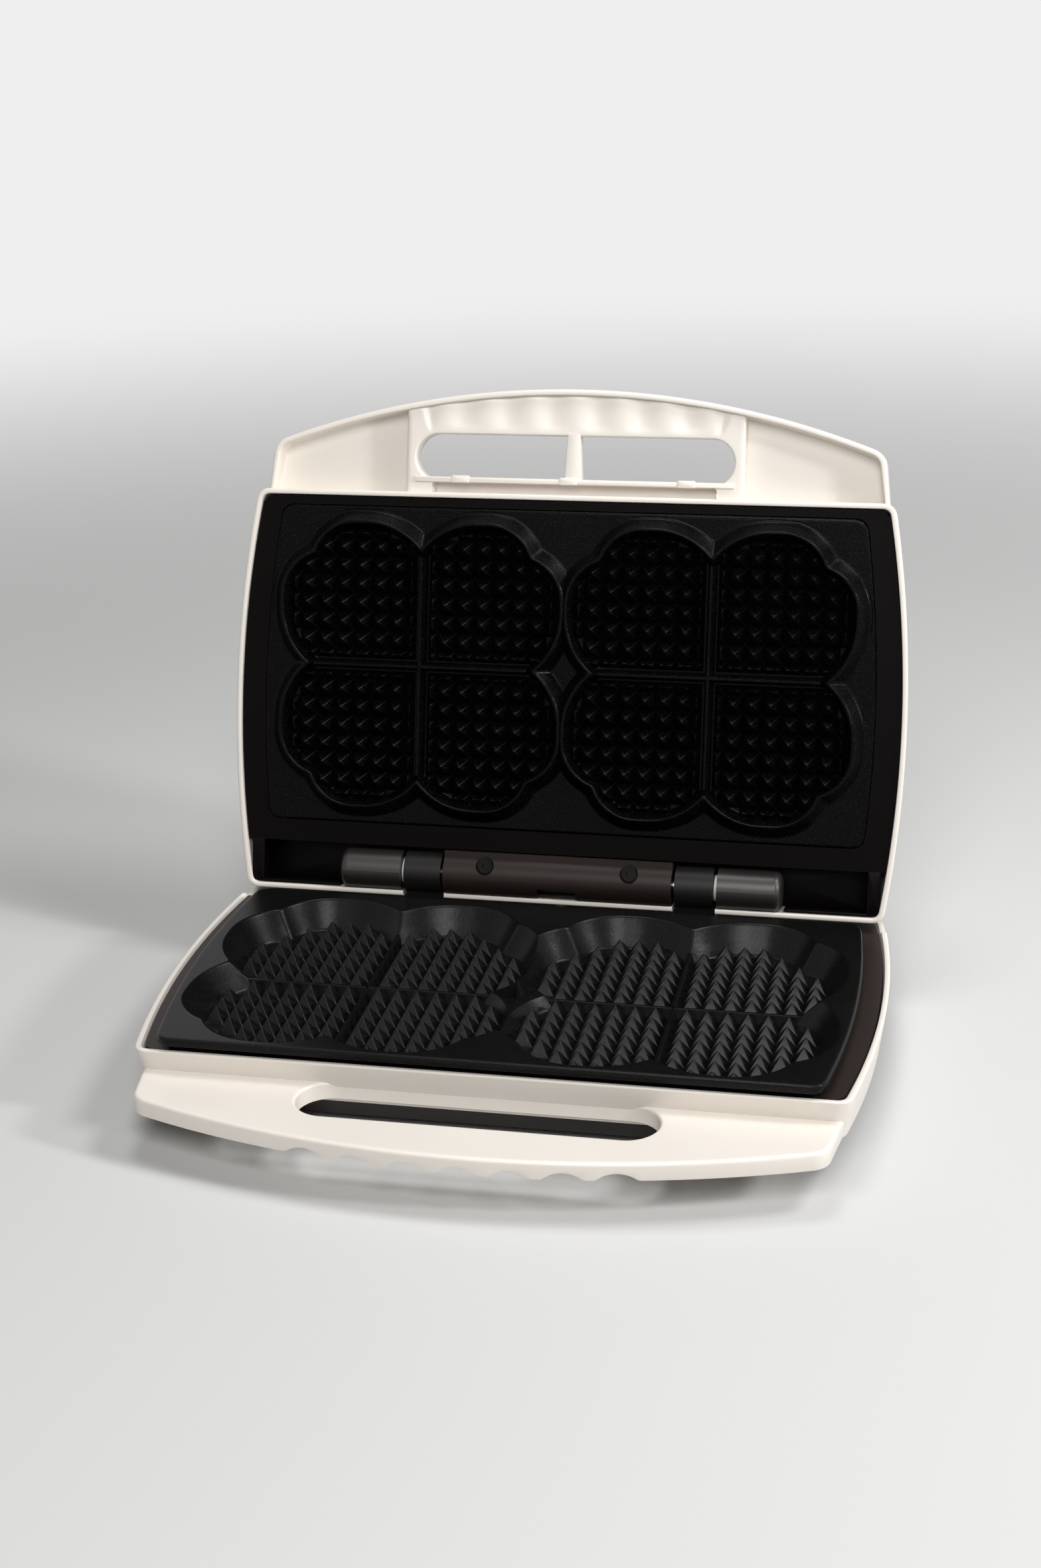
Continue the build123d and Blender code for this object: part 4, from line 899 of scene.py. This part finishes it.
def makeLidGripBox():
    # raised box round the slot with soft flutes, its rib, and the lip on the lid's side
    size = lidGrip
    low, skin, top = size["face"], size["skin"], size["top"]
    edge = gripBoxLoop(size, 0.0)
    wave = 0.5 - 0.5 * np.cos(2 * np.pi * edge[:, 0] / size["flutePitch"])
    forward = np.clip((size["slotMiddle"] - edge[:, 1] - size["slotHalfY"]) / 8, 0, 1)
    dip = size["fluteDepth"] * wave * forward * np.clip((size["fluteTo"] - np.abs(edge[:, 0])) / 4, 0, 1)
    sunk = (edge[:, 1] > size["boxRear"] - 0.5) & (np.abs(edge[:, 0]) < size["recessHalf"])
    floor = np.where(sunk, size["recess"], low)
    profile = [("slot", 0.0, top - 0.5), ("slot", 0.0, low + 2.0)]
    profile += turnRows("slot", 0.0, low + 1.0, 0.8, low, 0.0, low, 6)
    brim = np.where(sunk, 0.85, 1.7)[:, None]
    profile += [("slot", brim, low + dip * 0.1), ("slot", brim + 0.15, floor + dip * 0.1)]
    profile += [("slot", 3.6, floor + dip * 0.4), ("slot", 5.4, floor + dip * 0.8), ("edge", 3.0, floor + dip)]
    profile += [("edge", d, floor + dip * (1 - k / 4) + k * 0.3) for k, d in enumerate((0.9, 0.4, 0.1, 0.0))]
    profile += [("edge", 0.0, skin + 0.8), ("slot", 2.0, skin + 0.8), ("slot", 0.6, top - 0.2)]
    profile += [("slot", 0.25, top - 0.02)]
    parts = [bandGrid(gripBoxLoop, size, profile, 1.0)]
    (narrow, front), (wide, rear) = size["rib"]
    ribRows = []
    for inward, z in ((0.8, 8.9), (0.25, 9.1), (0.0, 9.7), (0.0, 16.1), (0.3, 16.7), (0.8, 16.9)):
        ribRows.append([(inward - narrow, front, z), (narrow - inward, front, z), (wide - inward, rear, z),
                        (inward - wide, rear, z)])
    parts.append(tube(np.array(ribRows)))
    # the lip, with three tabs under it
    parts.append(box(-73.5, 73.5, -86.9, -84.5, 8.2, 10.2, 0.4))
    for x in size["tabs"]:
        parts.append(box(x - 4, x + 4, -87.6, -84.3, 7.8, 10.2, 0.4))
    makePiece("lid_grip_box", parts, "cream_plastic", "lid")


# Sheets of the lining in the right half: x, y and z from and to, and the softness of their edges
lining = {
    "outer": (73.0, 141.5, 83.6, 103.9, 14.85, 16.0, 0.3),
    "knuckle": (53.0, 73.2, 83.6, 99.6, 14.85, 16.0, 0.3),
    "rear": (103.6, 141.5, 102.9, 104.0, 1.6, 15.6, 0.4), "rim": (140.6, 146.6, 83.2, 103.8, 1.6, 3.0, 0.4),
    "side": (140.6, 141.8, 83.2, 103.9, 1.7, 15.6, 0.4),
}


def makeLidLining():
    # dark lining of the lid behind the plate frame, left open where the knuckles pass; its finish is the dark brown
    # plastic painted much darker, as painted shade
    parts = [box(-53.2, 53.2, 83.6, 103.0, 14.85, 16.0, 0.3)]
    for x0, x1, *rest in lining.values():
        parts += [box(x0, x1, *rest), box(-x1, -x0, *rest)]
    makePiece("lid_lining", parts, "dark_plastic", "lid", look="painted_shade_plastic")


makeBaseBody()
makeLidBody()
makeBaseGrip()
makeLidGrip()
makeLidGripBox()
makeLidLining()
print("shells made")

# Camera at the photograph's place: metres, and angles worked out from the tooth grid
camera = {
    "place": (0.19131, -0.89651, 0.47822), "yaw": 0.2117288, "pitch": -0.3702627, "roll": -0.0274862,
    "focal": 3521.26, "longSide": 2361, "sensor": 36.0,
}


def makeCamera():
    # forward, right and up from yaw, pitch and roll
    yaw, pitch, roll = camera["yaw"], camera["pitch"], camera["roll"]
    forward = Vector((-math.sin(yaw) * math.cos(pitch), math.cos(yaw) * math.cos(pitch), math.sin(pitch)))
    level = Vector((math.cos(yaw), math.sin(yaw), 0))
    upright = level.cross(forward)
    right = level * math.cos(roll) + upright * math.sin(roll)
    up = right.cross(forward)
    lens = bpy.data.cameras.new("camera")
    lens.sensor_width = camera["sensor"]
    lens.lens = camera["focal"] / camera["longSide"] * camera["sensor"]
    lens.clip_start, lens.clip_end = 0.02, 50
    view = placed("camera", lens)
    turn = Matrix((right, up, -forward)).transposed().to_4x4()
    view.matrix_world = Matrix.Translation(camera["place"]) @ turn
    bpy.context.scene.camera = view


# Light: a softbox to the right and above, one overhead, a broad one in front, and a small one low on
# the right that draws the edges of the teeth
lamps = {
    "key": {"from": (0.60, 0.02, 0.80), "far": 1.5, "size": 0.45, "power": 9.0},
    "overhead": {"from": (-0.05, 0.12, 0.97), "far": 1.4, "size": 0.45, "power": 5.0},
    "fill": {"from": (0.10, -0.74, 0.67), "far": 1.9, "size": 0.90, "power": 20.0},
    "edge": {"from": (0.88, -0.19, 0.42), "far": 1.6, "size": 0.18, "power": 12.0},
}
# The world's strength as light and as it is seen, the paper's tones, and the sheet in metres
studio = {"world": 0.05, "shown": 0.93, "far": 0.86, "paperLow": (0.60, 0.60, 0.595), "paper": (0.62, 0.62, 0.615),
          "half": 4.0, "front": -3.0, "bendFrom": 2.2, "bend": 1.2, "top": 4.0, "fade": (0.45, 2.0)}


def makeLights():
    target = Vector((0, 0, 0.08))  # the lamps point a little above the floor
    for name, lamp in lamps.items():
        light = bpy.data.lights.new(name, "AREA")
        light.shape, light.size, light.energy = "DISK", lamp["size"], lamp["power"]
        holder = placed(name, light)
        away = Vector(lamp["from"]).normalized()
        holder.location = target + away * lamp["far"]
        holder.rotation_euler = away.to_track_quat("Z", "Y").to_euler()
    world = bpy.data.worlds.new("studio")
    bpy.context.scene.world = world
    world.use_nodes = True
    nodes, links = world.node_tree.nodes, world.node_tree.links
    background = nodes["Background"]
    background.inputs["Color"].default_value = (1.0, 0.99, 0.975, 1.0)
    path = nodes.new("ShaderNodeLightPath")
    seen = path.outputs["Is Camera Ray"]
    for ray in ("Is Glossy Ray", "Is Transmission Ray"):
        either = nodes.new("ShaderNodeMath")
        either.operation = "MAXIMUM"
        links.new(seen, either.inputs[0])
        links.new(path.outputs[ray], either.inputs[1])
        seen = either.outputs[0]
    strength = nodes.new("ShaderNodeMapRange")
    strength.inputs["To Min"].default_value = studio["world"]
    strength.inputs["To Max"].default_value = studio["shown"]
    links.new(seen, strength.inputs["Value"])
    links.new(strength.outputs[0], background.inputs["Strength"])


def makeFloor():
    # pale paper: a wide sheet that curves up behind the machine
    start, radius = studio["bendFrom"], studio["bend"]
    across = np.linspace(-studio["half"], studio["half"], 9)
    line = np.concatenate([[[studio["front"], 0.0]], arcPoints(start, radius, radius, 270, 360, 13),
                           [[start + radius, studio["top"]]]])
    rows = np.stack([np.stack([across, np.full(9, y), np.full(9, z)], axis=-1) for y, z in line])
    points, faces = grid(rows)
    mesh = smoothMesh("floor", points, faces.tolist())
    paper = Finish("paper", studio["paper"], 0.9)
    paper.paint(paper.noise(400, 2), studio["paperLow"], studio["paper"])
    # far from the machine the camera sees an even pale tone
    away = paper.add("ShaderNodeVectorMath", {"operation": "LENGTH"}, {0: paper.place}, "Value")
    beyond = paper.add("ShaderNodeMapRange", {"interpolation_type": "SMOOTHSTEP"},
                       {"Value": away, "From Min": studio["fade"][0], "From Max": studio["fade"][1]})
    seen = paper.add("ShaderNodeLightPath", {}, {}, "Is Camera Ray")
    rays = seen.socket.node.outputs
    seen = seen + Wire(paper, rays["Is Glossy Ray"]) + Wire(paper, rays["Is Transmission Ray"])
    even = paper.add("ShaderNodeEmission", {}, {"Color": (1, 1, 1, 1), "Strength": studio["far"]})
    mix = paper.add("ShaderNodeMixShader", {}, {0: beyond * seen, 2: even})
    paper.tree.links.new(paper.shader.outputs[0], mix.socket.node.inputs[1])
    paper.tree.links.new(mix.socket, paper.tree.nodes["Material Output"].inputs["Surface"])
    mesh.materials.append(paper.material)
    placed("floor", mesh)


makeCamera()
makeLights()
makeFloor()
bpy.context.scene.view_settings.view_transform = "Standard"
print("camera, lights and floor made")
